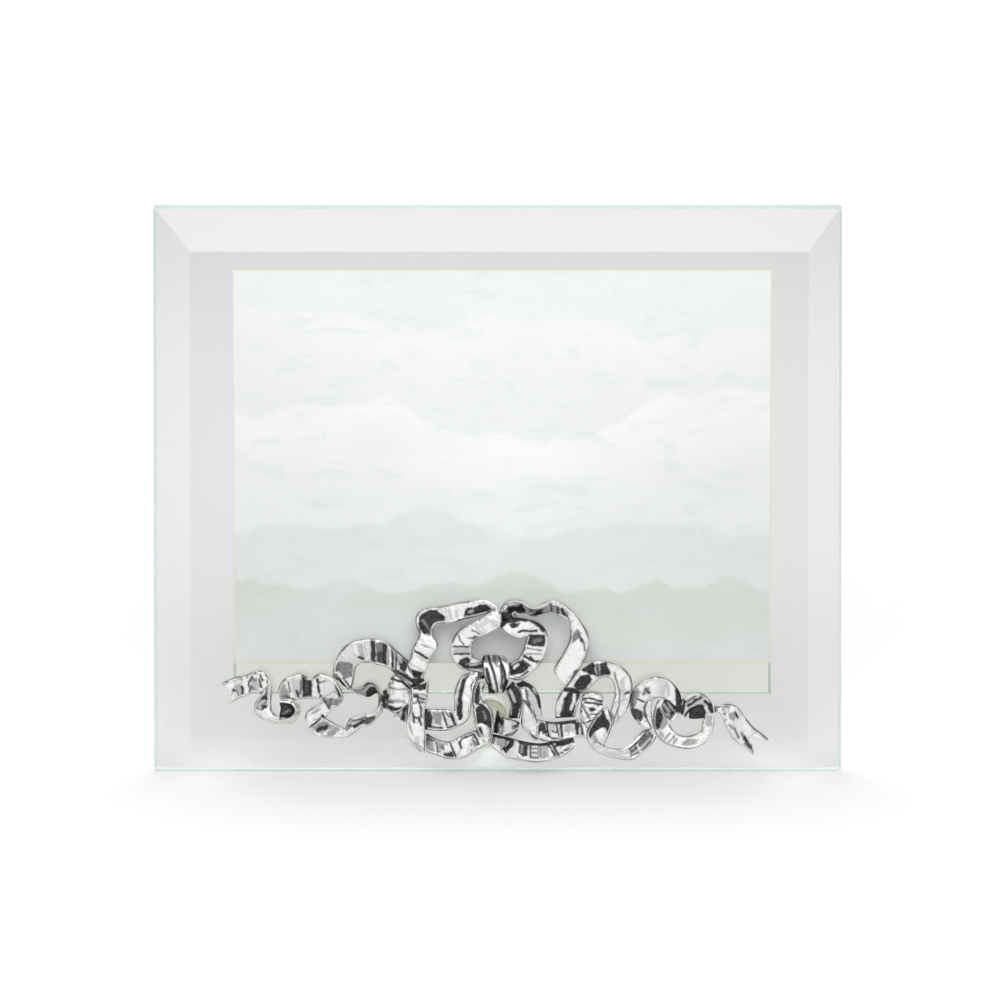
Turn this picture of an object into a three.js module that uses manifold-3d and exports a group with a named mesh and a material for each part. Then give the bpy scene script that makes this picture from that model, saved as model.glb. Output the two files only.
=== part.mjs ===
// A leaning photo frame of clear bevelled glass, with a silver ribbon bow bonded to its front.
// Millimetres, +Z up, the front faces -Y. The origin is the middle of the footprint.
import * as THREE from 'three';
import { ConvexGeometry } from 'three/addons/geometries/ConvexGeometry.js';
import { mergeVertices } from 'three/addons/utils/BufferGeometryUtils.js';
import Module from 'manifold-3d';

const wasm = await Module();
wasm.setup();

// How the frame stands
const LEAN_DEG = 12;

// The print that the frame is made for
const PRINT_WIDTH = 180;
const PRINT_HEIGHT = 131.6;
const PRINT_THICKNESS = 0.4;

// Front glass: its margins round the print, and its bevelled border
const SIDE_MARGIN = 25;
const TOP_MARGIN = 21.7;
const PLATE_EDGE = 3.2;
const BEVEL_DEPTH = 2.8;
const BEVEL_LEFT = 12.5;
const BEVEL_RIGHT = 11.5;
const BEVEL_TOP = 15.8;
const BEVEL_BOTTOM = 10.8;

// Pocket: the print stands on a clear strip between the front glass and a smaller rear pane
const JOINT_GAP = 0.3;
const POCKET_SHIFT = 1.5;
const POCKET_RISE = 1.9;
const STRIP_HEIGHT = 10;
const STRIP_THICKNESS = 1;
const REAR_THICKNESS = 3;

// Foot: a clear rod bonded square to the back of the front glass, with a soft cap on its end
const FOOT_X = -2.7;
const FOOT_HEIGHT = 17.5;
const ROD_RADIUS = 5.5;
const BOND_RIM = 0.5;
const BOND_THICKNESS = 0.6;
const TIP_WALL = 1.2;
const TIP_LENGTH = 9;
const TIP_END = 1.5;
const SOLE_LENGTH = 4;
const ROUND_SIDES = 32;

// Ornament: ribbon strips, drawn at three times their size, x to the right and y down.
// On that drawing the plate's middle is at DRAWING_MIDDLE and its bottom edge at DRAWING_FOOT.
const DRAWING_SCALE = 3;
const DRAWING_MIDDLE = 497.5;
const DRAWING_FOOT = 771;
const RIBBON_THICKNESS = 1;
const RIBBON_EDGE = 0.7;
const RIBBON_CROWN = 0.25;
const STEPS_PER_ROW = 3;
const CURVE_TENSION = 0.5;

// Points of a mesh closer than this are one point
const WELD_DISTANCE = 1e-5;

const lean = THREE.MathUtils.degToRad(LEAN_DEG);

const clearGlass = new THREE.MeshStandardMaterial({ color: 0xd9e6e1, roughness: 0.03, metalness: 0 });
const clearBond = new THREE.MeshStandardMaterial({ color: 0xe4ece8, roughness: 0.1, metalness: 0 });
const agedBond = new THREE.MeshStandardMaterial({ color: 0xc9d18e, roughness: 0.2, metalness: 0 });
const acrylic = new THREE.MeshStandardMaterial({ color: 0xe6efe9, roughness: 0.05, metalness: 0 });
const softCap = new THREE.MeshStandardMaterial({ color: 0xd8dad6, roughness: 0.6, metalness: 0 });
const printPaper = new THREE.MeshStandardMaterial({ color: 0xe6ebe9, roughness: 0.5, metalness: 0 });
const agedSilver = new THREE.MeshStandardMaterial({ color: 0xc9c9c5, roughness: 0.25, metalness: 1 });

// The plate's own frame: x to the right, y up the glass from its bottom edge, z out of the front,
// with z = 0 on the back of the front glass. The frame leans back about that bottom back edge.
const frame = new THREE.Group();
frame.rotation.x = Math.PI / 2 - lean;

function addPiece(name, geometry, material) {
  const piece = new THREE.Mesh(geometry, material);
  piece.name = name;
  frame.add(piece);
  return piece;
}

// A closed mesh as a solid that can be cut, and back
function toSolid(geometry) {
  const bare = geometry.clone();
  bare.deleteAttribute('normal');
  bare.deleteAttribute('uv');
  const merged = mergeVertices(bare, WELD_DISTANCE);
  const mesh = new wasm.Mesh({
    numProp: 3,
    vertProperties: new Float32Array(merged.attributes.position.array),
    triVerts: new Uint32Array(merged.index.array),
  });
  return new wasm.Manifold(mesh);
}

function toGeometry(solid) {
  const mesh = solid.getMesh();
  const geometry = new THREE.BufferGeometry();
  geometry.setAttribute('position', new THREE.BufferAttribute(mesh.vertProperties, mesh.numProp));
  geometry.setIndex(new THREE.BufferAttribute(mesh.triVerts, 1));
  geometry.computeVertexNormals();
  return geometry;
}

function cutAway(geometry, ...cutters) {
  let solid = toSolid(geometry);
  for (const cutter of cutters) {
    solid = solid.subtract(toSolid(cutter));
  }
  return toGeometry(solid);
}

function cornersAt(left, right, bottom, top, z) {
  return [
    new THREE.Vector3(left, bottom, z), new THREE.Vector3(right, bottom, z),
    new THREE.Vector3(right, top, z), new THREE.Vector3(left, top, z),
  ];
}

// The pocket starts POCKET_RISE above the foot's joint, and the front glass goes round it
const bondRadius = ROD_RADIUS + BOND_RIM;
const pocketFoot = FOOT_HEIGHT + bondRadius + POCKET_RISE;
const pocketDepth = JOINT_GAP + STRIP_THICKNESS + JOINT_GAP;
const printFoot = pocketFoot + STRIP_HEIGHT + JOINT_GAP;
const printFront = -(pocketDepth - PRINT_THICKNESS) / 2;
const rearHeight = STRIP_HEIGHT + JOINT_GAP + PRINT_HEIGHT;
const plateThickness = PLATE_EDGE + BEVEL_DEPTH;
const plateWidth = PRINT_WIDTH + 2 * SIDE_MARGIN;
const plateHeight = pocketFoot + rearHeight + TOP_MARGIN;

// Front glass: square edges up to PLATE_EDGE, then four mitred bevels up to the flat face
function frontGlass() {
  const half = plateWidth / 2;
  const flat = cornersAt(
    -half + BEVEL_LEFT, half - BEVEL_RIGHT, BEVEL_BOTTOM, plateHeight - BEVEL_TOP, plateThickness);
  return new ConvexGeometry([
    ...cornersAt(-half, half, 0, plateHeight, 0),
    ...cornersAt(-half, half, 0, plateHeight, PLATE_EDGE),
    ...flat,
  ]);
}

// A flat piece behind the front glass, from its lower edge up and from its front face back
function backPlate(width, height, thickness, foot, front) {
  const plate = new THREE.BoxGeometry(width, height, thickness);
  plate.translate(POCKET_SHIFT, foot + height / 2, front - thickness / 2);
  return plate;
}

addPiece('front_glass', frontGlass(), clearGlass);
addPiece('rear_glass',
  backPlate(PRINT_WIDTH, rearHeight, REAR_THICKNESS, pocketFoot, -pocketDepth), clearGlass);
addPiece('pocket_strip',
  backPlate(PRINT_WIDTH, STRIP_HEIGHT, STRIP_THICKNESS, pocketFoot, -JOINT_GAP), clearBond);
addPiece('photo_print',
  backPlate(PRINT_WIDTH, PRINT_HEIGHT, PRINT_THICKNESS, printFoot, printFront), printPaper);

// The foot's rod is as long as it needs to be for the cap's flat sole to lie on the table
const tipRadius = ROD_RADIUS + JOINT_GAP + TIP_WALL;
const footReach = (FOOT_HEIGHT - tipRadius) / Math.tan(lean) + SOLE_LENGTH;
const bondBack = JOINT_GAP + BOND_THICKNESS;

// A turned piece on the foot's axis. Its profile is in distance behind the glass and radius.
function turned(profile) {
  const points = profile.map(([back, radius]) => new THREE.Vector2(radius, back));
  const geometry = new THREE.LatheGeometry(points, ROUND_SIDES);
  geometry.rotateX(-Math.PI / 2);
  geometry.translate(FOOT_X, FOOT_HEIGHT, 0);
  return geometry;
}

function solidRound(front, back, radius) {
  return turned([[front, 0], [front, radius], [back, radius], [back, 0]]);
}

// The table top in the plate's frame, as a block under the bottom edge
function tableBlock() {
  const size = 4 * footReach;
  const block = new THREE.BoxGeometry(size, size, size);
  block.translate(0, 0, -size / 2);
  block.rotateX(lean - Math.PI / 2);
  return block;
}

function footTip() {
  const mouth = footReach - TIP_LENGTH;
  const floor = footReach - TIP_END;
  const bore = tipRadius - TIP_WALL;
  const cup = turned([
    [floor, 0], [floor, bore], [mouth, bore], [mouth, tipRadius], [footReach, tipRadius], [footReach, 0],
  ]);
  return cutAway(cup, tableBlock());
}

addPiece('foot_bond', solidRound(JOINT_GAP, bondBack, bondRadius), agedBond);
addPiece('foot_rod',
  solidRound(bondBack + JOINT_GAP, footReach - TIP_END - JOINT_GAP, ROD_RADIUS), acrylic);
addPiece('foot_tip', footTip(), softCap);

// A point of the ornament's drawing, at a height in millimetres above the flat glass
function fromDrawing(x, y, height) {
  return new THREE.Vector3(
    (x - DRAWING_MIDDLE) / DRAWING_SCALE,
    (DRAWING_FOOT - y) / DRAWING_SCALE,
    plateThickness + height);
}

// A ribbon strip. Each row gives a point on its left edge and one on its right edge, seen along
// the way the strip runs, as x, y, height. The section is a thin strip with a raised middle.
function ribbon(rows) {
  const smooth = (first) => new THREE.CatmullRomCurve3(
    rows.map((row) => fromDrawing(row[first], row[first + 1], row[first + 2])),
    false, 'catmullrom', CURVE_TENSION);
  const leftEdge = smooth(0);
  const rightEdge = smooth(3);
  const steps = (rows.length - 1) * STEPS_PER_ROW;
  const middleAt = (step) => {
    const along = Math.min(Math.max(step / steps, 0), 1);
    return leftEdge.getPoint(along).lerp(rightEdge.getPoint(along), 0.5);
  };
  const positions = [];
  const indices = [];
  const edge = RIBBON_EDGE / 2;
  const body = RIBBON_THICKNESS / 2;
  const ring = 6;
  for (let step = 0; step <= steps; step += 1) {
    const left = leftEdge.getPoint(step / steps);
    const right = rightEdge.getPoint(step / steps);
    const middle = middleAt(step);
    const travel = middleAt(step + 1).sub(middleAt(step - 1));
    const front = right.clone().sub(left).cross(travel).normalize();
    const off = (point, lift) => point.clone().addScaledVector(front, lift);
    const section = [
      off(left, edge), off(middle, RIBBON_CROWN + body), off(right, edge),
      off(right, -edge), off(middle, RIBBON_CROWN - body), off(left, -edge),
    ];
    section.forEach((point) => positions.push(point.x, point.y, point.z));
  }
  const quad = (a, b, c, d) => indices.push(a, b, c, a, c, d);
  for (let step = 0; step < steps; step += 1) {
    const here = step * ring;
    for (let side = 0; side < ring; side += 1) {
      const next = (side + 1) % ring;
      quad(here + side, here + next, here + ring + next, here + ring + side);
    }
  }
  const last = steps * ring;
  quad(0, 5, 4, 1);
  quad(1, 4, 3, 2);
  quad(last, last + 1, last + 4, last + 5);
  quad(last + 1, last + 2, last + 3, last + 4);
  const geometry = new THREE.BufferGeometry();
  geometry.setAttribute('position', new THREE.Float32BufferAttribute(positions, 3));
  geometry.setIndex(indices);
  geometry.computeVertexNormals();
  return geometry;
}

// The swallowtail cut in the end of a tail, as a prism through it. The apex comes first.
function swallowtail(points) {
  const shape = new THREE.Shape(points.map(([x, y]) => {
    const at = fromDrawing(x, y, 0);
    return new THREE.Vector2(at.x, at.y);
  }));
  return new THREE.ExtrudeGeometry(shape, { depth: 4 * plateThickness, bevelEnabled: false });
}

// Left of the bow
const leftTail = [
  [222, 683, 2.2, 228, 702, 1.6],
  [236, 677, 2.6, 240, 696, 1.4],
  [244, 676, 1.6, 247, 694, 1.2],
  [251, 673, 2.4, 252, 691, 2.0],
  [259, 670, 3.4, 260, 691, 3.0],
  [266, 674, 3.4, 264, 689, 3.4],
  [270, 682, 2.6, 264, 691, 3.4],
  [271, 692, 1.8, 259, 697, 2.8],
  [270, 702, 1.2, 255, 706, 2.2],
  [271, 710, 1.2, 258, 714, 1.6],
  [276, 715, 2.0, 268, 720, 1.0],
  [283, 718, 3.2, 279, 722, 1.0],
  [291, 716, 4.2, 291, 722, 1.4],
  [295, 709, 4.6, 299, 712, 2.0],
  [292, 703, 4.8, 297, 703, 2.6],
  [285, 701, 4.8, 288, 699, 3.0],
  [281, 701, 4.6, 281, 698, 3.2],
];
const leftNotch = [[233, 690], [213, 680], [223, 714]];
const curlBack = [
  [290, 703, 1.1, 282, 704, 1.1],
  [293, 706, 1.1, 280, 707, 1.1],
  [293, 711, 1.1, 279, 710, 1.1],
  [291, 715, 1.1, 281, 714, 1.1],
  [288, 717, 1.1, 284, 717, 1.1],
];
const leftArch = [
  [278, 692, 1.6, 281, 699, 1.0],
  [283, 680, 3.4, 288, 700, 1.2],
  [291, 676, 4.2, 296, 698, 1.8],
  [300, 673, 3.6, 302, 697, 2.0],
  [307, 677, 2.6, 307, 697, 1.8],
  [313, 677, 2.6, 313, 697, 1.8],
  [321, 673, 3.4, 319, 697, 2.4],
  [331, 677, 3.8, 320, 697, 2.8],
  [340, 687, 3.6, 321, 699, 2.6],
  [342, 699, 2.6, 322, 701, 2.2],
  [332, 708, 1.8, 320, 704, 1.8],
  [325, 716, 1.2, 312, 708, 1.2],
  [317, 721, 0.9, 307, 712, 0.9],
  [310, 725, 0.9, 305, 718, 0.9],
];
const leftHem = [
  [321, 716, 2.6, 308, 727, 2.6],
  [332, 722, 2.2, 319, 735, 2.2],
  [341, 727, 1.6, 333, 736, 1.6],
  [346, 728, 1.3, 345, 736, 1.2],
  [350, 719, 2.2, 353, 732, 1.4],
  [359, 716, 2.8, 359, 727, 1.4],
  [367, 714, 2.8, 368, 724, 1.4],
  [374, 712, 2.8, 375, 719, 1.4],
  [378, 706, 3.4, 382, 709, 1.3],
  [380, 698, 4.0, 382, 699, 1.2],
  [379, 689, 4.2, 378, 692, 1.2],
  [374, 682, 4.2, 374, 693, 1.2],
  [368, 682, 3.8, 368, 696, 1.1],
  [361, 686, 3.2, 361, 694, 1.0],
  [352, 687, 2.6, 356, 692, 1.0],
];
const bigArch = [
  [333, 676, 1.4, 350, 690, 1.0],
  [334, 667, 2.6, 353, 677, 1.6],
  [338, 656, 4.0, 355, 666, 2.6],
  [346, 645, 5.2, 361, 661, 3.6],
  [356, 640, 5.8, 368, 659, 4.2],
  [366, 638, 5.8, 374, 661, 4.4],
  [376, 638, 5.4, 380, 663, 4.2],
  [386, 641, 4.8, 387, 665, 3.8],
  [394, 648, 4.0, 391, 668, 3.2],
  [401, 654, 3.2, 395, 672, 2.4],
  [408, 661, 2.2, 400, 678, 1.6],
  [416, 670, 1.3, 407, 684, 1.0],
  [424, 680, 1.0, 412, 690, 0.9],
];
const leftPanel = [
  [387, 688, 1.3, 387, 708, 1.3],
  [390, 681, 3.0, 390, 709, 2.6],
  [394, 675, 4.2, 394, 711, 3.4],
  [400, 678, 4.5, 400, 709, 3.9],
  [405, 682, 4.0, 404, 705, 3.6],
  [409, 688, 3.2, 409, 699, 3.0],
];
const leftDrop = [
  [428, 681, 2.6, 411, 687, 2.4],
  [427, 690, 2.6, 412, 694, 2.6],
  [426, 699, 2.6, 411, 702, 2.8],
  [424, 712, 2.2, 410, 712, 2.6],
  [424, 724, 2.0, 407, 724, 1.8],
  [424, 736, 1.6, 408, 735, 1.4],
  [424, 746, 1.2, 414, 744, 1.0],
  [424, 752, 0.9, 420, 750, 0.9],
];
const leftFan = [
  [408, 703, 1.4, 401, 706, 1.4],
  [407, 711, 1.3, 399, 711, 1.3],
  [406, 722, 1.0, 394, 717, 1.0],
];

// The bow
const leftLoop = [
  [411, 671, 2.8, 422, 677, 2.8],
  [409, 664, 3.9, 426, 669, 3.9],
  [411, 656, 4.4, 429, 659, 4.4],
  [414, 646, 4.4, 433, 651, 4.4],
  [420, 634, 3.8, 437, 644, 4.2],
  [417, 625, 2.4, 432, 633, 3.6],
  [417, 615, 1.8, 434, 624, 3.2],
  [424, 609, 1.8, 440, 621, 3.0],
  [434, 607, 2.4, 447, 621, 3.2],
  [447, 605, 3.2, 455, 620, 3.6],
  [460, 602, 4.0, 464, 617, 3.8],
  [473, 600, 4.6, 474, 615, 3.8],
  [484, 599, 5.2, 484, 612, 3.8],
  [493, 602, 6.0, 491, 609, 4.4],
  [500, 611, 6.6, 490, 611, 5.8],
  [499, 624, 6.8, 485, 614, 6.8],
  [488, 631, 6.6, 476, 620, 6.6],
  [478, 636, 6.0, 466, 625, 6.0],
  [472, 642, 5.2, 457, 632, 5.2],
  [471, 649, 4.6, 452, 644, 4.4],
  [472, 655, 4.0, 453, 655, 4.0],
  [477, 659, 3.6, 457, 663, 3.6],
  [482, 661, 3.3, 465, 668, 3.2],
  [487, 662, 3.0, 484, 669, 2.9],
];
const knot = [
  [502, 657, 1.0, 487, 656, 1.0],
  [504, 656, 3.2, 485, 655, 3.2],
  [507, 659, 5.6, 483, 658, 5.6],
  [509, 668, 7.2, 484, 667, 7.2],
  [508, 677, 7.6, 486, 676, 7.6],
  [506, 685, 6.4, 488, 685, 6.4],
  [503, 690, 4.0, 489, 691, 4.0],
  [501, 690, 1.4, 490, 691, 1.0],
];
const rightLoop = [
  [506, 664, 3.0, 507, 676, 3.0],
  [513, 661, 3.6, 520, 678, 2.6],
  [520, 656, 4.2, 531, 671, 3.2],
  [524, 649, 4.4, 540, 661, 3.6],
  [526, 641, 4.4, 545, 648, 4.2],
  [528, 635, 4.4, 547, 635, 5.0],
  [525, 634, 5.0, 541, 624, 5.6],
  [518, 636, 5.6, 530, 619, 5.8],
  [509, 632, 5.6, 516, 617, 5.6],
  [503, 627, 5.2, 507, 619, 5.2],
  [501, 625, 4.8, 502, 622, 4.8],
];
const rightStreamer = [
  [501, 621, 2.0, 517, 618, 2.4],
  [500, 611, 2.4, 514, 613, 1.6],
  [505, 602, 3.4, 516, 611, 1.4],
  [514, 599, 4.2, 521, 612, 1.4],
  [523, 600, 4.6, 526, 612, 1.6],
  [529, 605, 4.4, 530, 614, 1.8],
  [535, 606, 4.2, 536, 615, 1.8],
  [543, 602, 4.4, 544, 614, 1.8],
  [553, 599, 4.6, 553, 613, 2.0],
  [563, 603, 4.6, 561, 615, 2.4],
  [572, 611, 4.2, 568, 619, 2.8],
  [581, 622, 3.8, 571, 629, 3.2],
  [588, 636, 3.4, 570, 641, 3.0],
  [586, 651, 3.0, 564, 653, 2.6],
  [580, 665, 2.2, 557, 664, 2.0],
  [573, 678, 1.4, 555, 670, 1.4],
  [566, 684, 1.0, 558, 676, 1.0],
];
const leftDrape = [
  [485, 677, 1.6, 484, 672, 1.6],
  [477, 679, 2.6, 474, 671, 2.6],
  [471, 687, 3.4, 462, 676, 3.4],
  [469, 698, 3.8, 456, 688, 3.8],
  [468, 708, 3.4, 455, 700, 3.6],
  [466, 717, 2.8, 455, 708, 3.0],
  [460, 724, 2.4, 452, 710, 2.6],
  [450, 728, 2.2, 444, 709, 2.2],
  [438, 729, 2.0, 436, 709, 2.0],
  [428, 728, 1.8, 428, 709, 1.8],
];
const innerFold = [
  [485, 682, 1.2, 478, 681, 1.2],
  [482, 690, 1.6, 474, 690, 1.6],
  [481, 699, 2.0, 473, 700, 1.8],
  [487, 705, 2.8, 474, 707, 2.2],
  [492, 713, 3.4, 475, 716, 3.0],
  [493, 725, 3.4, 477, 726, 3.2],
  [491, 735, 3.0, 481, 735, 3.0],
  [489, 742, 2.7, 484, 741, 2.7],
];
const leftSwag = [
  [426, 733, 1.8, 426, 750, 1.6],
  [433, 737, 2.4, 432, 752, 2.2],
  [441, 740, 2.8, 439, 754, 2.6],
  [450, 741, 3.2, 448, 757, 3.0],
  [459, 737, 3.2, 459, 757, 3.0],
  [468, 733, 2.4, 469, 753, 2.4],
  [477, 730, 1.3, 479, 747, 1.3],
  [484, 729, 1.0, 487, 743, 1.0],
];
const rightSwag = [
  [493, 734, 1.0, 491, 744, 1.0],
  [502, 736, 1.6, 498, 750, 1.6],
  [511, 738, 2.4, 507, 756, 2.4],
  [519, 742, 3.0, 519, 759, 3.0],
  [529, 744, 3.4, 531, 761, 3.4],
  [540, 745, 3.4, 541, 761, 3.4],
  [552, 743, 3.0, 552, 758, 3.0],
  [563, 741, 2.4, 563, 754, 2.4],
  [573, 740, 1.6, 574, 746, 1.6],
];
const smallEnd = [
  [498, 722, 2.8, 500, 732, 2.8],
  [504, 717, 3.4, 505, 734, 3.6],
  [512, 719, 3.4, 511, 734, 3.6],
  [519, 722, 2.1, 517, 729, 2.1],
];
const rightStrand = [
  [512, 681, 3.2, 506, 688, 3.0],
  [519, 687, 3.4, 508, 696, 3.4],
  [522, 696, 3.2, 511, 704, 3.2],
  [521, 707, 2.4, 510, 711, 2.4],
  [519, 717, 1.4, 509, 717, 1.4],
];
const rightBand = [
  [525, 688, 3.2, 521, 687, 3.2],
  [527, 700, 3.2, 524, 700, 3.2],
  [532, 711, 2.8, 523, 712, 2.8],
  [537, 721, 1.6, 522, 724, 1.6],
  [540, 731, 1.0, 528, 732, 1.0],
  [544, 740, 0.9, 536, 739, 0.9],
];
const rightPoint = [
  [522, 680, 1.8, 514, 684, 1.6],
  [532, 686, 1.7, 522, 692, 1.5],
  [538, 695, 1.7, 527, 700, 1.4],
  [540, 705, 1.5, 531, 708, 1.2],
  [541, 715, 1.0, 535, 716, 1.0],
];

// Right of the bow
const rightGarland = [
  [538, 719, 2.6, 536, 736, 2.6],
  [546, 721, 2.8, 544, 739, 2.8],
  [554, 722, 2.6, 554, 740, 2.6],
  [563, 721, 2.8, 563, 738, 2.8],
  [572, 720, 2.4, 573, 736, 2.4],
  [580, 719, 2.0, 583, 734, 2.0],
];
const firstRing = [
  [556, 717, 1.6, 574, 716, 1.6],
  [556, 707, 2.6, 576, 707, 2.4],
  [559, 696, 3.4, 579, 699, 3.0],
  [565, 687, 3.8, 583, 692, 3.4],
  [571, 679, 4.0, 588, 687, 3.6],
  [577, 672, 4.2, 593, 682, 3.6],
  [584, 667, 4.4, 597, 678, 3.6],
  [592, 662, 4.6, 602, 676, 3.6],
  [601, 660, 4.8, 607, 675, 3.6],
  [611, 662, 4.8, 612, 677, 3.6],
  [622, 667, 4.4, 615, 684, 3.4],
  [630, 677, 4.0, 616, 692, 3.2],
  [631, 690, 3.4, 614, 700, 2.8],
  [628, 704, 2.8, 612, 707, 2.2],
  [621, 716, 2.0, 610, 713, 1.6],
  [612, 726, 1.0, 607, 720, 1.0],
];
const pleatFan = [
  [584, 696, 1.4, 580, 714, 1.4],
  [589, 696, 2.2, 584, 721, 2.0],
  [597, 697, 2.2, 594, 718, 1.8],
  [602, 700, 1.4, 602, 711, 1.2],
];
const swoop = [
  [607, 706, 2.8, 600, 711, 3.0],
  [611, 722, 3.2, 592, 722, 3.6],
  [607, 735, 3.2, 587, 733, 3.4],
  [604, 744, 2.8, 592, 745, 2.6],
  [611, 748, 2.6, 604, 753, 2.2],
  [621, 748, 2.6, 618, 757, 2.0],
  [630, 744, 2.6, 632, 758, 2.0],
  [637, 737, 2.2, 644, 750, 1.8],
  [643, 731, 1.4, 652, 742, 1.2],
  [649, 729, 1.0, 656, 735, 0.9],
];
const secondRing = [
  [640, 723, 3.0, 651, 728, 2.8],
  [632, 712, 3.2, 645, 717, 2.6],
  [631, 700, 3.6, 643, 707, 2.8],
  [634, 688, 4.2, 646, 700, 3.2],
  [643, 680, 4.8, 652, 697, 3.6],
  [655, 676, 5.0, 659, 695, 3.8],
  [667, 679, 4.8, 665, 697, 3.6],
  [676, 687, 4.2, 669, 701, 3.4],
  [679, 697, 3.6, 672, 706, 3.2],
  [678, 708, 3.2, 672, 712, 3.0],
  [673, 718, 2.8, 668, 718, 2.8],
];
const thirdRing = [
  [681, 710, 1.6, 685, 716, 1.2],
  [684, 698, 3.2, 690, 708, 1.8],
  [695, 692, 4.2, 697, 704, 2.2],
  [705, 695, 4.2, 703, 705, 2.4],
  [711, 703, 3.8, 706, 710, 2.4],
  [713, 713, 3.2, 705, 717, 2.2],
  [713, 725, 2.6, 703, 724, 2.0],
  [709, 736, 2.2, 702, 730, 1.8],
  [702, 743, 2.0, 696, 734, 1.8],
  [691, 747, 2.0, 686, 736, 1.8],
  [679, 746, 2.0, 677, 734, 1.6],
  [668, 743, 1.6, 671, 728, 1.2],
  [660, 737, 1.2, 669, 723, 1.0],
  [655, 728, 1.0, 672, 717, 1.0],
  [654, 717, 1.0, 674, 709, 1.0],
  [656, 707, 1.0, 673, 702, 1.0],
  [659, 700, 1.0, 668, 697, 1.0],
];
const ringTongue = [
  [652, 700, 1.2, 647, 701, 1.2],
  [651, 706, 1.2, 644, 707, 1.0],
  [651, 713, 1.2, 645, 713, 1.0],
  [652, 720, 1.2, 647, 722, 1.0],
  [653, 727, 1.0, 650, 728, 1.0],
];
const ringBack = [
  [689, 712, 1.0, 690, 717, 1.0],
  [694, 708, 1.0, 695, 718, 1.0],
  [700, 706, 1.0, 701, 718, 1.0],
  [705, 708, 1.0, 706, 717, 1.0],
];
const rightTail = [
  [715, 705, 2.6, 715, 711, 2.6],
  [719, 706, 2.0, 719, 711, 2.0],
  [724, 704, 2.4, 723, 716, 2.2],
  [730, 704, 3.2, 727, 726, 2.8],
  [737, 707, 3.6, 732, 735, 3.0],
  [743, 715, 3.2, 738, 741, 2.6],
  [752, 726, 2.4, 744, 745, 2.0],
  [760, 732, 1.8, 749, 749, 1.4],
  [768, 739, 1.4, 754, 754, 1.0],
];
const rightNotch = [[750, 734], [783, 746], [758, 768]];

const strips = {
  curl_back: curlBack,
  left_arch: leftArch,
  left_hem: leftHem,
  big_arch: bigArch,
  left_panel: leftPanel,
  left_drop: leftDrop,
  left_fan: leftFan,
  left_loop: leftLoop,
  knot,
  right_loop: rightLoop,
  right_streamer: rightStreamer,
  left_drape: leftDrape,
  inner_fold: innerFold,
  left_swag: leftSwag,
  right_swag: rightSwag,
  small_end: smallEnd,
  right_strand: rightStrand,
  right_band: rightBand,
  right_point: rightPoint,
  right_garland: rightGarland,
  first_ring: firstRing,
  pleat_fan: pleatFan,
  swoop,
  second_ring: secondRing,
  ring_tongue: ringTongue,
  third_ring: thirdRing,
  ring_back: ringBack,
};

addPiece('left_tail', cutAway(ribbon(leftTail), swallowtail(leftNotch)), agedSilver);
for (const [name, rows] of Object.entries(strips)) {
  addPiece(name, ribbon(rows), agedSilver);
}
addPiece('right_tail', cutAway(ribbon(rightTail), swallowtail(rightNotch)), agedSilver);

// The footprint's middle goes to the origin, and the lowest edge to z = 0
const stand = new THREE.Group();
stand.add(frame);
stand.updateMatrixWorld(true);
const bounds = new THREE.Box3().setFromObject(stand, true);
stand.position.set(0, -(bounds.min.y + bounds.max.y) / 2, -bounds.min.z);
stand.updateMatrixWorld(true);

export default stand;
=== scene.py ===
# %% [markdown]
# # A glass photo frame with a silver ribbon bow
# The real object is a bevelled glass plate that leans back on a clear rod. A smaller pane behind it
# holds the print, and a bow of folded ribbon in silver plate is bonded to the front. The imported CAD
# model gives every size and place, and this script dresses it: glass, paper, adhesive and silver.

# %% Load the frame
import math

import bpy
import numpy as np
from mathutils import Matrix, Vector
from mathutils.kdtree import KDTree


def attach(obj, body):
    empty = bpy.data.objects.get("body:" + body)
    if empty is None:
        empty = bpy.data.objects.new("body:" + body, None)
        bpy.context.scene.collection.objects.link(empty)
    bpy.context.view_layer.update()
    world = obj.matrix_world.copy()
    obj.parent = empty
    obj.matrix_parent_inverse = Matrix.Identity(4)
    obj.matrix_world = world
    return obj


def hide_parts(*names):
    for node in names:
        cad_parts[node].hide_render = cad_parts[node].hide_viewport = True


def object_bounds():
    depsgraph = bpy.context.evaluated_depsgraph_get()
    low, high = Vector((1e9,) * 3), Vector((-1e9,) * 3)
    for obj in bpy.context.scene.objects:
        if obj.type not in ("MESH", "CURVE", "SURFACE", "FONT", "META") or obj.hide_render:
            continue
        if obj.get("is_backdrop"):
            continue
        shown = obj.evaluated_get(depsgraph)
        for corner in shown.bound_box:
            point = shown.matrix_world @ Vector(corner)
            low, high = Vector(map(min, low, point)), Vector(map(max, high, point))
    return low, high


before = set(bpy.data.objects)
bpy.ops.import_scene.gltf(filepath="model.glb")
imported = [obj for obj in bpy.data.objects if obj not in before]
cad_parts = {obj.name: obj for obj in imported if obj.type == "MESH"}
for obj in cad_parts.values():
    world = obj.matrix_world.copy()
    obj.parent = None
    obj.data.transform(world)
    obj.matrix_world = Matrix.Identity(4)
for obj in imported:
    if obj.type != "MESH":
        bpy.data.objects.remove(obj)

cad_low, cad_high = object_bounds()
cad_size = [round(1000 * v, 1) for v in cad_high - cad_low]
print(len(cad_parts), "CAD nodes in a box of", cad_size, "mm")

# %% [markdown]
# The plate leans back, so nothing on it is square to the table. The pieces are shaped in the
# plate's own frame instead: x to the right, y up the glass from its bottom edge, z out of the
# front, with 0 on the back of the front glass. STAND then turns that frame up and sets it on the
# table.

# %% The plate's own frame
MM = 0.001
LEAN = math.radians(12)

foot_edge = min(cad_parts["front_glass"].data.vertices, key=lambda v: v.co.z).co
STAND = Matrix.Translation((0, foot_edge.y, 0)) @ Matrix.Rotation(math.pi / 2 - LEAN, 4, "X")


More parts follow.
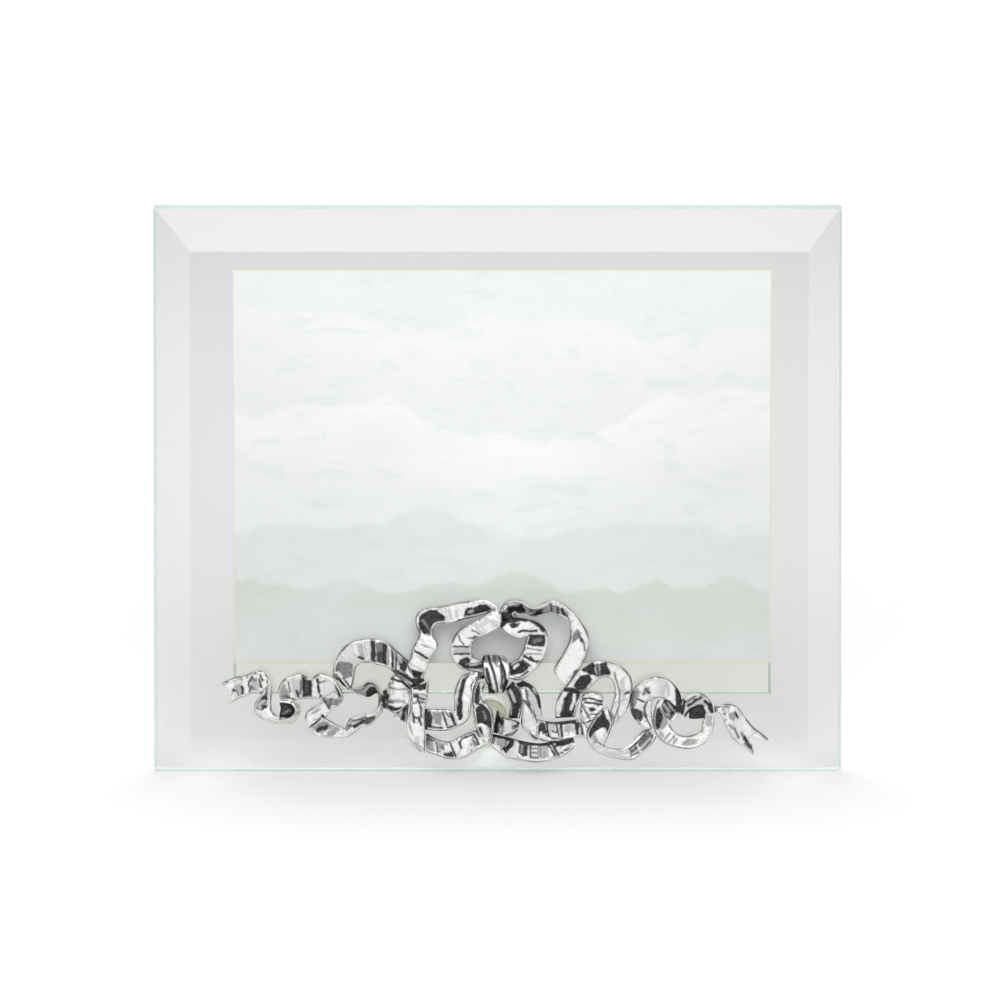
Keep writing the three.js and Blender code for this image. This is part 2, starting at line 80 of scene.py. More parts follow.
def plate_box(node):
    """A CAD node's lowest and highest corner in the plate's frame."""
    turned = STAND.inverted()
    points = np.array([turned @ v.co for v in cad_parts[node].data.vertices])
    return Vector(points.min(0)), Vector(points.max(0))


plate_low, plate_high = plate_box("front_glass")
PLATE_WIDTH = plate_high.x - plate_low.x
PLATE_HEIGHT = plate_high.y
PLATE_THICKNESS = plate_high.z
print("front glass", [round(v / MM, 1) for v in (PLATE_WIDTH, PLATE_HEIGHT, PLATE_THICKNESS)], "mm")

# %% [markdown]
# The camera comes before any piece, so that each one can be judged as it is made. A long lens from
# 1.2 m keeps the plate nearly rectangular. It looks down a little more steeply than the glass
# leans, which makes the top edge a touch wider than the bottom one. The four corners' places in the
# picture are printed, to be held against the photo.

# %% Camera
CAMERA_DISTANCE = 1.2
CAMERA_ELEVATION = LEAN + math.radians(1.6)
CAMERA_LENS = 129.3
CAMERA_REACH = 20
AIM_RIGHT = 0.8 * MM
AIM_DOWN = 4.0 * MM

plate_middle = STAND @ Vector((AIM_RIGHT, PLATE_HEIGHT / 2, PLATE_THICKNESS / 2))
view_back = Vector((0, -math.cos(CAMERA_ELEVATION), math.sin(CAMERA_ELEVATION)))
view_up = Vector((0, math.sin(CAMERA_ELEVATION), math.cos(CAMERA_ELEVATION)))
bpy.ops.object.camera_add(location=plate_middle - AIM_DOWN * view_up + CAMERA_DISTANCE * view_back)
camera = bpy.context.object
camera.rotation_mode = "QUATERNION"
camera.rotation_quaternion = (-view_back).to_track_quat("-Z", "Y")
camera.data.lens = CAMERA_LENS
camera.data.clip_end = CAMERA_REACH
bpy.context.scene.camera = camera
bpy.context.scene.view_settings.view_transform = "Standard"

PICTURE_SIZE = 1000
PLATE_EDGE = 3.2 * MM
picture_scale = CAMERA_LENS / camera.data.sensor_width * PICTURE_SIZE
bpy.context.view_layer.update()
for x, y in ((plate_low.x, PLATE_HEIGHT), (plate_high.x, PLATE_HEIGHT),
             (plate_high.x, 0), (plate_low.x, 0)):
    seen = camera.matrix_world.inverted() @ (STAND @ Vector((x, y, PLATE_EDGE)))
    print("corner at", round(PICTURE_SIZE / 2 + picture_scale * seen.x / -seen.z, 1),
          round(PICTURE_SIZE / 2 - picture_scale * seen.y / -seen.z, 1))

# %% [markdown]
# A few helpers are used by every material. Colours are picked as the screen shows them, in hex, and
# one function turns them to the linear values that the shaders want. Another adds one node, and two
# small ones start and end a material.

# %% Colours and nodes
def linear(colour):
    """A screen colour such as "#DCDCDA" as linear RGBA."""
    parts = [int(colour[i:i + 2], 16) / 255 for i in (1, 3, 5)]
    return [p / 12.92 if p <= 0.04045 else ((p + 0.055) / 1.055) ** 2.4 for p in parts] + [1]


def add_node(tree, kind, inputs=None, **settings):
    """Adds a shader node. An input gets a plain value or a link, from a socket or a node."""
    node = tree.nodes.new("ShaderNode" + kind)
    for name, value in settings.items():
        setattr(node, name, value)
    for name, value in (inputs or {}).items():
        if isinstance(value, bpy.types.Node):
            value = next(socket for socket in value.outputs if socket.enabled)
        if isinstance(value, bpy.types.NodeSocket):
            tree.links.new(value, node.inputs[name])
        else:
            node.inputs[name].default_value = value
    return node


def new_material(name):
    """An empty material, its node tree and each point's place, in metres."""
    material = bpy.data.materials.new(name)
    material.use_nodes = True
    tree = material.node_tree
    tree.nodes.clear()
    return material, tree, add_node(tree, "TexCoord").outputs["Object"]


def finished(material, shader):
    """The material, with its last shader node linked to the output."""
    add_node(material.node_tree, "OutputMaterial", {"Surface": shader})
    return material


# %% [markdown]
# A product photo of glass is made in a white tent, so that there is something pale to see through
# it. The floor is a white sheet that takes the frame's soft shadow. Where the lamps fade away from
# the frame, the sheet would turn grey. Light Path tells the camera's rays from the others, so the
# camera alone sees it lifted to white, and glass and metal show a small share of that.

# %% Floor
FLOOR_SIZE = 12
FLOOR_WHITE = "#E7E7E7"
FLOOR_LIFT_CAMERA = 0.135
FLOOR_LIFT_FAR = 0.62
FLOOR_LIFT_GLOSSY = 0.04
FLOOR_SHARE_GLASS = 0.1
LIT_REACH = 0.2
DIM_REACH = 1.3

bpy.ops.mesh.primitive_plane_add(size=FLOOR_SIZE)
floor = bpy.context.object
floor.name = "floor"
floor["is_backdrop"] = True
# Matt white paper: even, with no gloss, so the shadow is all that it shows
paper_sweep, tree, place = new_material("white_paper_sweep")
path = add_node(tree, "LightPath").outputs
away = add_node(tree, "VectorMath", {0: place}, operation="LENGTH").outputs["Value"]
white = add_node(tree, "MapRange", {0: away, 1: LIT_REACH, 2: DIM_REACH, 3: FLOOR_LIFT_CAMERA,
                                    4: FLOOR_LIFT_FAR}, interpolation_type="SMOOTHSTEP")
share = add_node(tree, "Math", {0: path["Is Transmission Ray"], 1: FLOOR_SHARE_GLASS,
                                2: path["Is Camera Ray"]}, operation="MULTIPLY_ADD")
lift = add_node(tree, "Math", {0: share, 1: white}, operation="MULTIPLY")
lift = add_node(tree, "Math", {0: path["Is Glossy Ray"], 1: FLOOR_LIFT_GLOSSY, 2: lift},
                operation="MULTIPLY_ADD")
sheet = add_node(tree, "BsdfDiffuse", {"Color": linear(FLOOR_WHITE)})
glow = add_node(tree, "Emission", {"Strength": lift})
finished(paper_sweep, add_node(tree, "AddShader", {0: sheet, 1: glow}))
floor.data.materials.append(paper_sweep)
print("floor of", FLOOR_SIZE, "m")

# %% [markdown]
# The world is the tent. It lights the frame from all round, is pure white to the camera and through
# the glass, and gives metal and glass something to mirror: white in front, brighter above, with
# black flags at its sides and overhead. The flags draw the dark edges that make silver read as
# silver. Two soft boxes add a direction, one behind for the glass and one in front for the bow.

# %% World and lamps
WORLD_LIGHT = 0.55
WORLD_CAMERA = 1.0
WORLD_GLASS = 1.0
TENT_FRONT = 1.0
TENT_HIGH = 1.5
FLAG_SHADE = 0.2
# Where each starts and is full, in a direction of length 1: how far up the tent gets brighter, how
# far aside the side flags are, and how far up the one overhead is
TENT_RISE = (0.3, 0.6)
FLAG_ASIDE = (0.5, 0.75)
FLAG_ABOVE = (0.8, 0.95)

world = bpy.data.worlds.new("white_tent")
bpy.context.scene.world = world
world.use_nodes = True
tree = world.node_tree
tree.nodes.clear()
path = add_node(tree, "LightPath").outputs
level = add_node(tree, "Math", {0: path["Is Camera Ray"], 1: WORLD_CAMERA - WORLD_LIGHT,
                                2: WORLD_LIGHT}, operation="MULTIPLY_ADD")
heading = add_node(tree, "TexCoord").outputs["Generated"]
ahead = add_node(tree, "SeparateXYZ", {0: heading}).outputs
aside = add_node(tree, "Math", {0: ahead["X"]}, operation="ABSOLUTE")
flag = add_node(tree, "MapRange", {0: aside, 1: FLAG_ASIDE[0], 2: FLAG_ASIDE[1]},
                interpolation_type="SMOOTHSTEP")
high = add_node(tree, "MapRange", {0: ahead["Z"], 1: TENT_RISE[0], 2: TENT_RISE[1],
                                   3: TENT_FRONT - WORLD_LIGHT, 4: TENT_HIGH - WORLD_LIGHT},
                interpolation_type="SMOOTHSTEP")
above = add_node(tree, "MapRange", {0: ahead["Z"], 1: FLAG_ABOVE[0], 2: FLAG_ABOVE[1]},
                 interpolation_type="SMOOTHSTEP")
flag = add_node(tree, "Math", {0: flag, 1: above}, operation="MAXIMUM")
mirrored = add_node(tree, "MapRange", {0: flag, 3: high, 4: FLAG_SHADE - WORLD_LIGHT})
level = add_node(tree, "Math", {0: path["Is Glossy Ray"], 1: mirrored, 2: level},
                 operation="MULTIPLY_ADD")
# Light that has been scattered by a matt surface before the glass gets no extra white
direct = add_node(tree, "Math", {0: path["Diffuse Depth"], 1: 0.5}, operation="LESS_THAN")
through = add_node(tree, "Math", {0: path["Is Transmission Ray"], 1: direct}, operation="MULTIPLY")
level = add_node(tree, "Math", {0: through, 1: WORLD_GLASS - WORLD_LIGHT, 2: level},
                 operation="MULTIPLY_ADD")
tent = add_node(tree, "Background", {"Color": (1, 1, 1, 1), "Strength": level})
add_node(tree, "OutputWorld", {"Surface": tent})


def soft_box(name, place, size, watts):
    """A square lamp behind a diffuser, which faces the frame. The mirrors see the tent there."""
    bpy.ops.object.light_add(type="AREA", location=place)
    lamp = bpy.context.object
    lamp.name = name
    lamp.rotation_mode = "QUATERNION"
    lamp.rotation_quaternion = (plate_middle - Vector(place)).to_track_quat("-Z", "Y")
    lamp.data.size = size
    lamp.data.energy = watts
    lamp.visible_glossy = False
    print(name, "of", watts, "W")


soft_box("back_soft_box", place=(-0.03, 0.5, 1.25), size=0.55, watts=7.0)
soft_box("front_soft_box", place=(0, -1.02, 0.92), size=0.9, watts=7.9)

# %% [markdown]
# Plate glass is cut with square edges, then every edge is ground, and a narrow arris takes off the
# sharp corner. Each plate starts as a copy of its CAD solid, whose loose triangles are merged
# first. The bevel operator then rounds the corners and cuts the arrises. Edges are picked in code,
# by the place of their two ends, as there is no mouse to click them with.

# %% Helpers for shaping a piece
# Two points closer than this are at the same place
CLOSE = 0.01 * MM


def only(piece):
    """Makes the piece the only selected and the active object."""
    bpy.ops.object.select_all(action="DESELECT")
    piece.select_set(True)
    bpy.context.view_layer.objects.active = piece


def edit(piece, *steps):
    """Runs the steps on the piece in edit mode, then lets go of all that is selected."""
    only(piece)
    bpy.ops.object.mode_set(mode="EDIT")
    for step in steps:
        step()
    bpy.ops.mesh.select_all(action="DESELECT")
    bpy.ops.object.mode_set(mode="OBJECT")


def copy_of(node, name):
    """An own copy of a CAD node's mesh in the plate's frame, merged, as a new piece."""
    piece = bpy.data.objects.new(name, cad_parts[node].data.copy())
    bpy.context.scene.collection.objects.link(piece)
    piece.data.materials.clear()
    piece.data.transform(STAND.inverted())
    edit(piece, lambda: bpy.ops.mesh.select_all(action="SELECT"),
         lambda: bpy.ops.mesh.remove_doubles(threshold=CLOSE),
         lambda: bpy.ops.mesh.dissolve_limited(angle_limit=math.radians(1)))
    return piece


def bevel_where(piece, test, width, segments):
    """Bevels the edges whose two ends pass the test."""
    edit(piece, lambda: bpy.ops.mesh.select_mode(type="EDGE"))
    points = piece.data.vertices
    for edge in piece.data.edges:
        edge.select = test(*(points[i].co for i in edge.vertices))
    edit(piece, lambda: bpy.ops.mesh.bevel(offset=width, segments=segments, affect="EDGES"))


def level_edge(a, b):
    """True where an edge lies parallel to the glass, as all round a flat end."""
    return abs(a.z - b.z) < CLOSE


def paint(piece, materials, choose):
    """Gives the piece its materials, and each face the one whose number is chosen for it."""
    for material in materials:
        piece.data.materials.append(material)
    for face in piece.data.polygons:
        face.material_index = int(choose(face))


def set_up(piece, body, slot, *nodes, crease=32):
    """Stands a finished piece up on the table, smooths it by angle and hands it to the frame."""
    piece.data.transform(STAND)
    only(piece)
    bpy.ops.object.shade_smooth_by_angle(angle=math.radians(crease))
    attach(piece, body)
    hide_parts(*nodes)
    print(piece.name, len(piece.data.polygons), "faces")


# %% [markdown]
# Float glass is polished and faintly green, which only shows where light has run along it, so the
# ground edges look aqua. Clear pieces bend the camera's rays but let a lamp's rays pass straight,
# because the bright patterns of bent lamp light would only come out as noise.

# %% Glass materials
GLASS_IOR = 1.52
# The tint of the glass turns from low to high over this range of height less distance aside, a
# painted shade that is darkest in the bottom corners
TINT_REACH = (-0.095, 0.1)
# Clouds of about 45 mm in the colour of a ground edge
EDGE_CLOUDS = 22.0


def lets_light_pass(tree, shader, shade):
    """The shader for what is seen, and a plain see-through colour for a lamp's rays."""
    clear = add_node(tree, "BsdfTransparent", {"Color": shade})
    path = add_node(tree, "LightPath").outputs
    return add_node(tree, "MixShader", {0: path["Is Shadow Ray"], 1: shader, 2: clear})


def grain(tree, place, size, strength, depth, detail=3.0):
    """A fine uneven surface: its noise, of that size, and the bump that the noise makes."""
    noise = add_node(tree, "TexNoise", {"Vector": place, "Scale": 1 / size, "Detail": detail})
    return noise, add_node(tree, "Bump", {"Height": noise, "Strength": strength, "Distance": depth})


def glass_material(name, low, high, shadow):
    """Clear float glass, its tint painted darker towards the bottom corners, where it shows the
    table, and lighter towards the top: painted shade and light.
    """
    material, tree, place = new_material(name)
    part = add_node(tree, "SeparateXYZ", {0: place}).outputs
    aside = add_node(tree, "Math", {0: part["X"]}, operation="ABSOLUTE")
    reach = add_node(tree, "Math", {0: part["Z"], 1: aside}, operation="SUBTRACT")
    share = add_node(tree, "MapRange", {0: reach, 1: TINT_REACH[0], 2: TINT_REACH[1]})
    tint = add_node(tree, "Mix", {0: share, 6: linear(low), 7: linear(high)}, data_type="RGBA")
    glass = add_node(tree, "BsdfPrincipled", {"Base Color": tint, "Roughness": 0, "IOR": GLASS_IOR,
                                              "Transmission Weight": 1})
    return finished(material, lets_light_pass(tree, glass, linear(shadow)))


def ground_edge(name, pale, deep):
    """Ground glass edge: satin and aqua, from pale where it is thin to deeper in clouds."""
    material, tree, place = new_material(name)
    cloud = add_node(tree, "TexNoise", {"Vector": place, "Scale": EDGE_CLOUDS, "Detail": 2.0})
    mix = add_node(tree, "Mix", {0: cloud, 6: linear(pale), 7: linear(deep)}, data_type="RGBA")
    bump = grain(tree, place, size=0.4 * MM, strength=0.15, depth=0.05 * MM)[1]
    return finished(material, add_node(tree, "BsdfPrincipled", {
        "Base Color": mix, "Roughness": 0.35, "IOR": GLASS_IOR, "Transmission Weight": 0.35,
        "Normal": bump}))


# Polished float glass: the flat faces take a little light away, and the bevels less. A bevel bends
# a lamp's light aside, so its own shadow on the table is darker. The thin rear pane is clearest.
# Each tint runs from low, a painted shade in the bottom corners, to high, painted lighter at the top
flat_glass = glass_material("float_glass_flat", "#E4E4E2", "#F0F0EE", "#F6F7F7")
bevel_glass = glass_material("float_glass_bevel", "#F5F6F5", "#FEFEFE", "#7F8381")
thin_glass = glass_material("float_glass_thin", "#FDFDFB", "#FDFDFB", "#FCFDFD")

# Ground edges: aqua, in copies whose colour is painted for the light on them: palest at the foot,
# which lies in shade, and deeper at the top, where the lamp above lights it strongly
aqua_edge = ground_edge("ground_glass_edge", "#EDF9F4", "#DBEEE6")
top_edge = ground_edge("ground_glass_edge_top", "#CDE2DB", "#B7D3C9")
foot_edge_glass = ground_edge("ground_glass_edge_foot", "#F6FFFC", "#E4FAF2")
deep_edge = ground_edge("ground_pane_edge", "#D3E9E1", "#B4D3C8")

# %% [markdown]
# The front glass has its wide bevels from the CAD. Here it gets an arris along each long edge and
# rounded corners, and its faces are sorted by the way they look: flat, bevel, or one of the edges.

# %% Front glass
CORNER_RADIUS = 1.0 * MM
CORNER_ZONE = 2 * MM
FRONT_ARRIS = 1.2 * MM
BACK_ARRIS = 0.5 * MM
OUTLINE_ZONE = 0.2 * MM
# How squarely a face looks out of the glass: less than the first is an edge, more than the second
# is flat, and what lies between is a bevel
EDGE_BELOW = 0.93
FLAT_ABOVE = 0.995


def on_outline(p):
    """True on the plate's outer edge."""
    return (min(abs(p.x - plate_low.x), abs(p.x - plate_high.x)) < OUTLINE_ZONE
            or min(abs(p.y), abs(p.y - PLATE_HEIGHT)) < OUTLINE_ZONE)


def in_corner(p):
    """True close to one of the plate's corners."""
    return (plate_high.x - abs(p.x) < CORNER_ZONE
            and min(p.y, PLATE_HEIGHT - p.y) < CORNER_ZONE)


def front_glass_look(face):
    """The number of a face's material: flat, bevel, side edge, top edge or foot edge."""
    if abs(face.normal.z) < EDGE_BELOW:
        return 3 if face.normal.y > 0.5 else 4 if face.normal.y < -0.5 else 2
    return 1 if EDGE_BELOW < face.normal.z < FLAT_ABOVE else 0


front_glass = copy_of("front_glass", "front_glass_plate")
edge_top = max(v.co.z for v in front_glass.data.vertices if on_outline(v.co))
bevel_where(front_glass, lambda a, b: abs(a.z - edge_top) + abs(b.z - edge_top) < CLOSE,
            FRONT_ARRIS, segments=1)
bevel_where(front_glass, lambda a, b: max(abs(a.z), abs(b.z)) < CLOSE, BACK_ARRIS, segments=1)
bevel_where(front_glass, lambda a, b: in_corner(a) and in_corner(b) and abs(a.z - b.z) > 0.1 * MM,
            CORNER_RADIUS, segments=12)
paint(front_glass, (flat_glass, bevel_glass, aqua_edge, top_edge, foot_edge_glass),
      front_glass_look)
set_up(front_glass, "frame", "clear_glass", "front_glass", crease=8)

# %% Rear pane
PANE_ARRIS = 0.7 * MM

rear_glass = copy_of("rear_glass", "rear_glass_pane")
bevel_where(rear_glass, level_edge, PANE_ARRIS, segments=1)
paint(rear_glass, (thin_glass, deep_edge), lambda face: abs(face.normal.z) < 0.95)
set_up(rear_glass, "frame", "clear_glass", "rear_glass", crease=8)

# %% [markdown]
# The print stands in the pocket between the two panes, on a clear strip of set adhesive. The
# picture is a generic one, drawn in the shader: pale hills in morning mist. Each ridge line is a
# noise of x alone, and fog pales every hill towards its foot, which is how distance reads in mist.
# Wisps of mist and grey banks are then laid over the whole, from a noise that is stretched
# sideways.

# %% The picture on the print
MIST_TOP = "#F0F3F6"
MIST_LOW = "#F3F6F6"
# The sky turns from low to top between these heights, in mm on the print
SKY_REACH = (20.0, 120.0)
# Each hill: the height of its ridge and how far that wanders, both in mm on the print, the length
# of its waves, how soft its ridge line is, and its colour
HILLS = (
    (112, 22, 70, 2.0, "#F6F8F9"),
    (84, 26, 46, 1.2, "#FCFEFE"),
    (60, 22, 60, 1.2, "#F6F9F9"),
    (45, 18, 42, 1.2, "#EBEFEE"),
    (24, 16, 30, 1.1, "#E0E4E1"),
)
# Where the first hill reads its noise, and how far on each next one does
HILL_START = 1.3
HILL_STEP = 3.7
FOG_DEPTH = 38.0
FOG_LEFT = 0.15
DRIFT_SHAPE = (1.0, 1.0, 2.6)
BANK_SHADE = "#D3DBDC"
# What drifts over the hills: its colour, the size and detail of its noise, how twisted it is, the
# noise it starts and is full at, and how much it covers
DRIFTS = (
    (MIST_TOP, 38 * MM, 4.0, 0.0, 0.42, 0.72, 0.5),
    (BANK_SHADE, 13 * MM, 5.0, 0.8, 0.52, 0.7, 0.22),
)

print_low, print_high = plate_box("photo_print")
picture_foot = STAND @ Vector((print_low.x, print_low.y, print_high.z))
picture_top = STAND @ Vector((print_low.x, print_high.y, print_high.z))


def misty_hills():
    """Satin photo paper with the picture: each hill is laid over the ones behind it."""
    material, tree, place = new_material("photo_paper_misty_hills")
    part = add_node(tree, "SeparateXYZ", {0: place}).outputs
    height = add_node(tree, "MapRange", {0: part["Z"], 1: picture_foot.z, 2: picture_top.z, 3: 0.0,
                                         4: (print_high.y - print_low.y) / MM})
    sky = add_node(tree, "MapRange", {0: height, 1: SKY_REACH[0], 2: SKY_REACH[1]},
                   interpolation_type="SMOOTHSTEP")
    colour = add_node(tree, "Mix", {0: sky, 6: linear(MIST_LOW), 7: linear(MIST_TOP)},
                      data_type="RGBA")
    for layer, (ridge, wander, wave, soft, tone) in enumerate(HILLS):
        along = add_node(tree, "CombineXYZ", {0: part["X"], 1: HILL_STEP * layer + HILL_START})
        line = add_node(tree, "TexNoise", {"Vector": along, "Scale": 1 / (wave * MM), "Detail": 3.0,
                                           "Roughness": 0.45})
        crest = add_node(tree, "Math", {0: line, 1: 2.0 * wander, 2: ridge - wander},
                         operation="MULTIPLY_ADD")
        below = add_node(tree, "Math", {0: crest, 1: height}, operation="SUBTRACT")
        shows = add_node(tree, "MapRange", {0: below, 1: -soft, 2: soft},
                         interpolation_type="SMOOTHSTEP")
        fog = add_node(tree, "MapRange", {0: below, 1: 0.0, 2: FOG_DEPTH, 3: 1.0, 4: FOG_LEFT},
                       interpolation_type="SMOOTHSTEP")
        cover = add_node(tree, "Math", {0: shows, 1: fog}, operation="MULTIPLY")
        colour = add_node(tree, "Mix", {0: cover, 6: colour, 7: linear(tone)}, data_type="RGBA")
    drift = add_node(tree, "Mapping", {"Vector": place, "Scale": DRIFT_SHAPE})
    for tone, size, detail, twist, start, full, strength in DRIFTS:
        cloud = add_node(tree, "TexNoise", {"Vector": drift, "Scale": 1 / size, "Detail": detail,
                                            "Distortion": twist})
        cover = add_node(tree, "MapRange", {0: cloud, 1: start, 2: full, 3: 0.0, 4: strength},
                         interpolation_type="SMOOTHSTEP")
        colour = add_node(tree, "Mix", {0: cover, 6: colour, 7: linear(tone)}, data_type="RGBA")
    paper = {"Base Color": colour, "Roughness": 0.4, "IOR": 1.5}
    return finished(material, add_node(tree, "BsdfPrincipled", paper))


def plain_paper(name, colour):
    """Uncoated paper: matt, with a faint fibre clouding a few millimetres across."""
    material, tree, place = new_material(name)
    bump = grain(tree, place, size=3 * MM, strength=0.1, depth=0.05 * MM, detail=4.0)[1]
    return finished(material, add_node(tree, "BsdfPrincipled", {
        "Base Color": linear(colour), "Roughness": 0.7, "Normal": bump}))


# %% Photo print
PRINT_BORDER = 0.5 * MM
# A face that looks this squarely out of a piece's front or back
SQUARELY = 0.9

photo = copy_of("photo_print", "misty_hills_print")
for face in photo.data.polygons:
    face.select = face.normal.z > SQUARELY
edit(photo, lambda: bpy.ops.mesh.inset(thickness=PRINT_BORDER))
picture = max((f for f in photo.data.polygons if f.normal.z > SQUARELY), key=lambda f: f.area).index
paint(photo, (misty_hills(), plain_paper("photo_paper_edge", "#ECEDDA"),
              plain_paper("photo_paper_back", "#F1F0EC")),
      lambda face: 0 if face.index == picture else 2 if face.normal.z < -SQUARELY else 1)
set_up(photo, "print", "print_paper", "photo_print")

# %% [markdown]
# The strip under the print is a clear adhesive that was run in and set between the panes, so its
# long edges wander a little. Cuts across the solid give them points to wander by. Adhesive bends
# light as much as glass does. Between two panes nothing is bent, so the step from one to the other
# is a refractive index of nearly 1, and only the strip's rounded rim shows, in aqua.

# %% Adhesive strip
STRIP_WANDER = 0.16 * MM
STRIP_RIM = 0.55 * MM
STRIP_CUTS = 90
BONDED_IOR = 1.02


def set_adhesive(name, tint):
    """Cured acrylate adhesive: nearly clear, with a skin that is never quite flat."""
    material, tree, place = new_material(name)
    bump = grain(tree, place, size=9 * MM, strength=0.4, depth=0.3 * MM, detail=2.0)[1]
    bond = add_node(tree, "BsdfPrincipled", {
        "Base Color": linear(tint), "Roughness": 0.02, "IOR": BONDED_IOR,
        "Transmission Weight": 0.93, "Normal": bump})
    return finished(material, lets_light_pass(tree, bond, linear(tint)))


def ripple(x):
    """How far the strip's edge wanders at x, from waves 46, 19 and 11 mm long."""
    return math.sin(x / 7.3) * math.sin(x / 3.1 + 1) + 0.5 * math.sin(x / 1.7 + 2)


strip = copy_of("pocket_strip", "clear_bond_strip")
bevel_where(strip, level_edge, STRIP_RIM, segments=2)
points = strip.data.vertices
for edge in strip.data.edges:
    edge.select = abs(points[edge.vertices[0]].co.x - points[edge.vertices[1]].co.x) > 50 * MM
edit(strip, lambda: bpy.ops.mesh.subdivide(number_cuts=STRIP_CUTS))
strip_low, strip_high = plate_box("pocket_strip")
for point in strip.data.vertices:
    inward = 1 if point.co.y < (strip_low.y + strip_high.y) / 2 else -1
    point.co.y += inward * STRIP_WANDER * (0.75 + 0.5 * ripple(point.co.x / MM))
paint(strip, (set_adhesive("clear_acrylate_bond", "#FEFEFC"),
              ground_edge("acrylate_bond_rim", "#E2F3ED", "#CDE6DE")),
      lambda face: face.normal.y < -0.3 or abs(face.normal.x) > 0.3)
set_up(strip, "frame", "clear_bond", "pocket_strip")

# %% [markdown]
# The foot is a length of cast acrylic rod with a soft cap, bonded square to the glass. That bond
# has yellowed, which is the one warm colour in the photo. Each is a cylinder turned by hand:
# bevelled, and inset and extruded where it has a bore. The bond's colour grows with the distance
# from its middle, and a little more to one side, as the air got in from there.

# %% Foot materials
ACRYLIC_IOR = 1.49
rod_low, rod_high = plate_box("foot_rod")
foot_x = (rod_low.x + rod_high.x) / 2
foot_y = (rod_low.y + rod_high.y) / 2
# The side where the air got in, up and to the right, how far a cloud shifts the yellow, and how far
# from the middle the yellow starts and is full
AGED_SIDE = (0.35, 0.0, 0.3)
AGED_SHIFT = 2.4 * MM
AGED_REACH = (5.0 * MM, 7.2 * MM)


def aged_bond():
    """Yellowed adhesive: nearly clear in the middle, and deeper along the rim."""
    material, tree, place = new_material("yellowed_acrylate_bond")
    middle = STAND @ Vector((foot_x, foot_y, 0))
    away = add_node(tree, "VectorMath", {0: place, 1: middle}, operation="DISTANCE")
    cloud = add_node(tree, "TexNoise", {"Vector": place, "Scale": 1 / (3 * MM), "Detail": 3.0})
    reach = add_node(tree, "Math", {0: cloud, 1: AGED_SHIFT, 2: away.outputs["Value"]},
                     operation="MULTIPLY_ADD")
    aside = add_node(tree, "VectorMath", {0: place, 1: middle}, operation="SUBTRACT")
    aside = add_node(tree, "VectorMath", {0: aside, 1: AGED_SIDE}, operation="DOT_PRODUCT")
    reach = add_node(tree, "Math", {0: reach, 1: aside.outputs["Value"]}, operation="ADD")
    rim = add_node(tree, "MapRange", {0: reach, 1: AGED_REACH[0], 2: AGED_REACH[1]},
                   interpolation_type="SMOOTHSTEP")
    tint = add_node(tree, "Mix", {0: rim, 6: linear("#FDFEFB"), 7: linear("#F0F2D2")},
                    data_type="RGBA").outputs[2]
    bond = add_node(tree, "BsdfPrincipled", {"Base Color": tint, "Roughness": 0.03,
                                             "IOR": BONDED_IOR, "Transmission Weight": 1})
    return finished(material, lets_light_pass(tree, bond, tint))


def acrylic():
    """Cast acrylic rod: clear, and a little hazy, as it has fine turning marks round it."""
    material, tree, place = new_material("cast_acrylic")
    bump = grain(tree, place, size=1.2 * MM, strength=0.12, depth=0.1 * MM)[1]
    rod = add_node(tree, "BsdfPrincipled", {
        "Base Color": linear("#F6F9F7"), "Roughness": 0.04, "IOR": ACRYLIC_IOR,
        "Transmission Weight": 1, "Normal": bump})
    return finished(material, lets_light_pass(tree, rod, linear("#F2F5F3")))


def ground_end():
    """The rod's sawn end, ground for the bond: frosted, so it catches some light."""
    material, tree, place = new_material("ground_acrylic_end")
    bump = grain(tree, place, size=0.6 * MM, strength=0.2, depth=0.05 * MM)[1]
    return finished(material, add_node(tree, "BsdfPrincipled", {
        "Base Color": linear("#FDFEFB"), "Roughness": 0.5, "IOR": ACRYLIC_IOR,
        "Transmission Weight": 0.75, "Normal": bump}))


def soft_vinyl():
    """Moulded soft vinyl: nearly clear, with the fine grain of its mould. Light glows in it."""
    material, tree, place = new_material("moulded_soft_vinyl")
    noise, bump = grain(tree, place, size=0.5 * MM, strength=0.3, depth=0.05 * MM, detail=2.0)
    milk = add_node(tree, "Mix", {0: noise, 6: linear("#FAFBF8"), 7: linear("#F2F4F0")},
                    data_type="RGBA").outputs[2]
    skin = add_node(tree, "BsdfPrincipled", {
        "Base Color": milk, "Roughness": 0.3, "IOR": 1.5, "Transmission Weight": 0.85,
        "Normal": bump})
    core = add_node(tree, "BsdfTranslucent", {"Color": milk})
    cap = add_node(tree, "MixShader", {0: 0.4, 1: skin, 2: core})
    return finished(material, lets_light_pass(tree, cap, linear("#ECEEEB")))


# %% Foot
FOOT_SEGMENTS = 72


def turned(node, name):
    """A closed cylinder along the plate's z, with the depth of the CAD node and its radius."""
    low, high = plate_box(node)
    bpy.ops.object.select_all(action="DESELECT")
    bpy.ops.mesh.primitive_cylinder_add(
        vertices=FOOT_SEGMENTS, radius=(high.x - low.x) / 2, depth=high.z - low.z,
        end_fill_type="NGON", location=(foot_x, foot_y, (low.z + high.z) / 2))
    piece = bpy.context.object
    piece.name = name
    bpy.ops.object.transform_apply(location=True, rotation=True, scale=True)
    return piece


bond = turned("foot_bond", "yellowed_bond_disc")
bevel_where(bond, level_edge, 0.2 * MM, segments=2)
paint(bond, (aged_bond(),), lambda face: 0)
set_up(bond, "frame", "aged_bond", "foot_bond")

rod = turned("foot_rod", "acrylic_foot_rod")
bevel_where(rod, level_edge, 0.5 * MM, segments=3)
paint(rod, (acrylic(), ground_end()), lambda face: face.normal.z > SQUARELY)
set_up(rod, "frame", "acrylic", "foot_rod")

# %% Foot cap
CAP_WALL = 1.2 * MM
CAP_END = 1.5 * MM
TABLE_GAP = 0.01 * MM

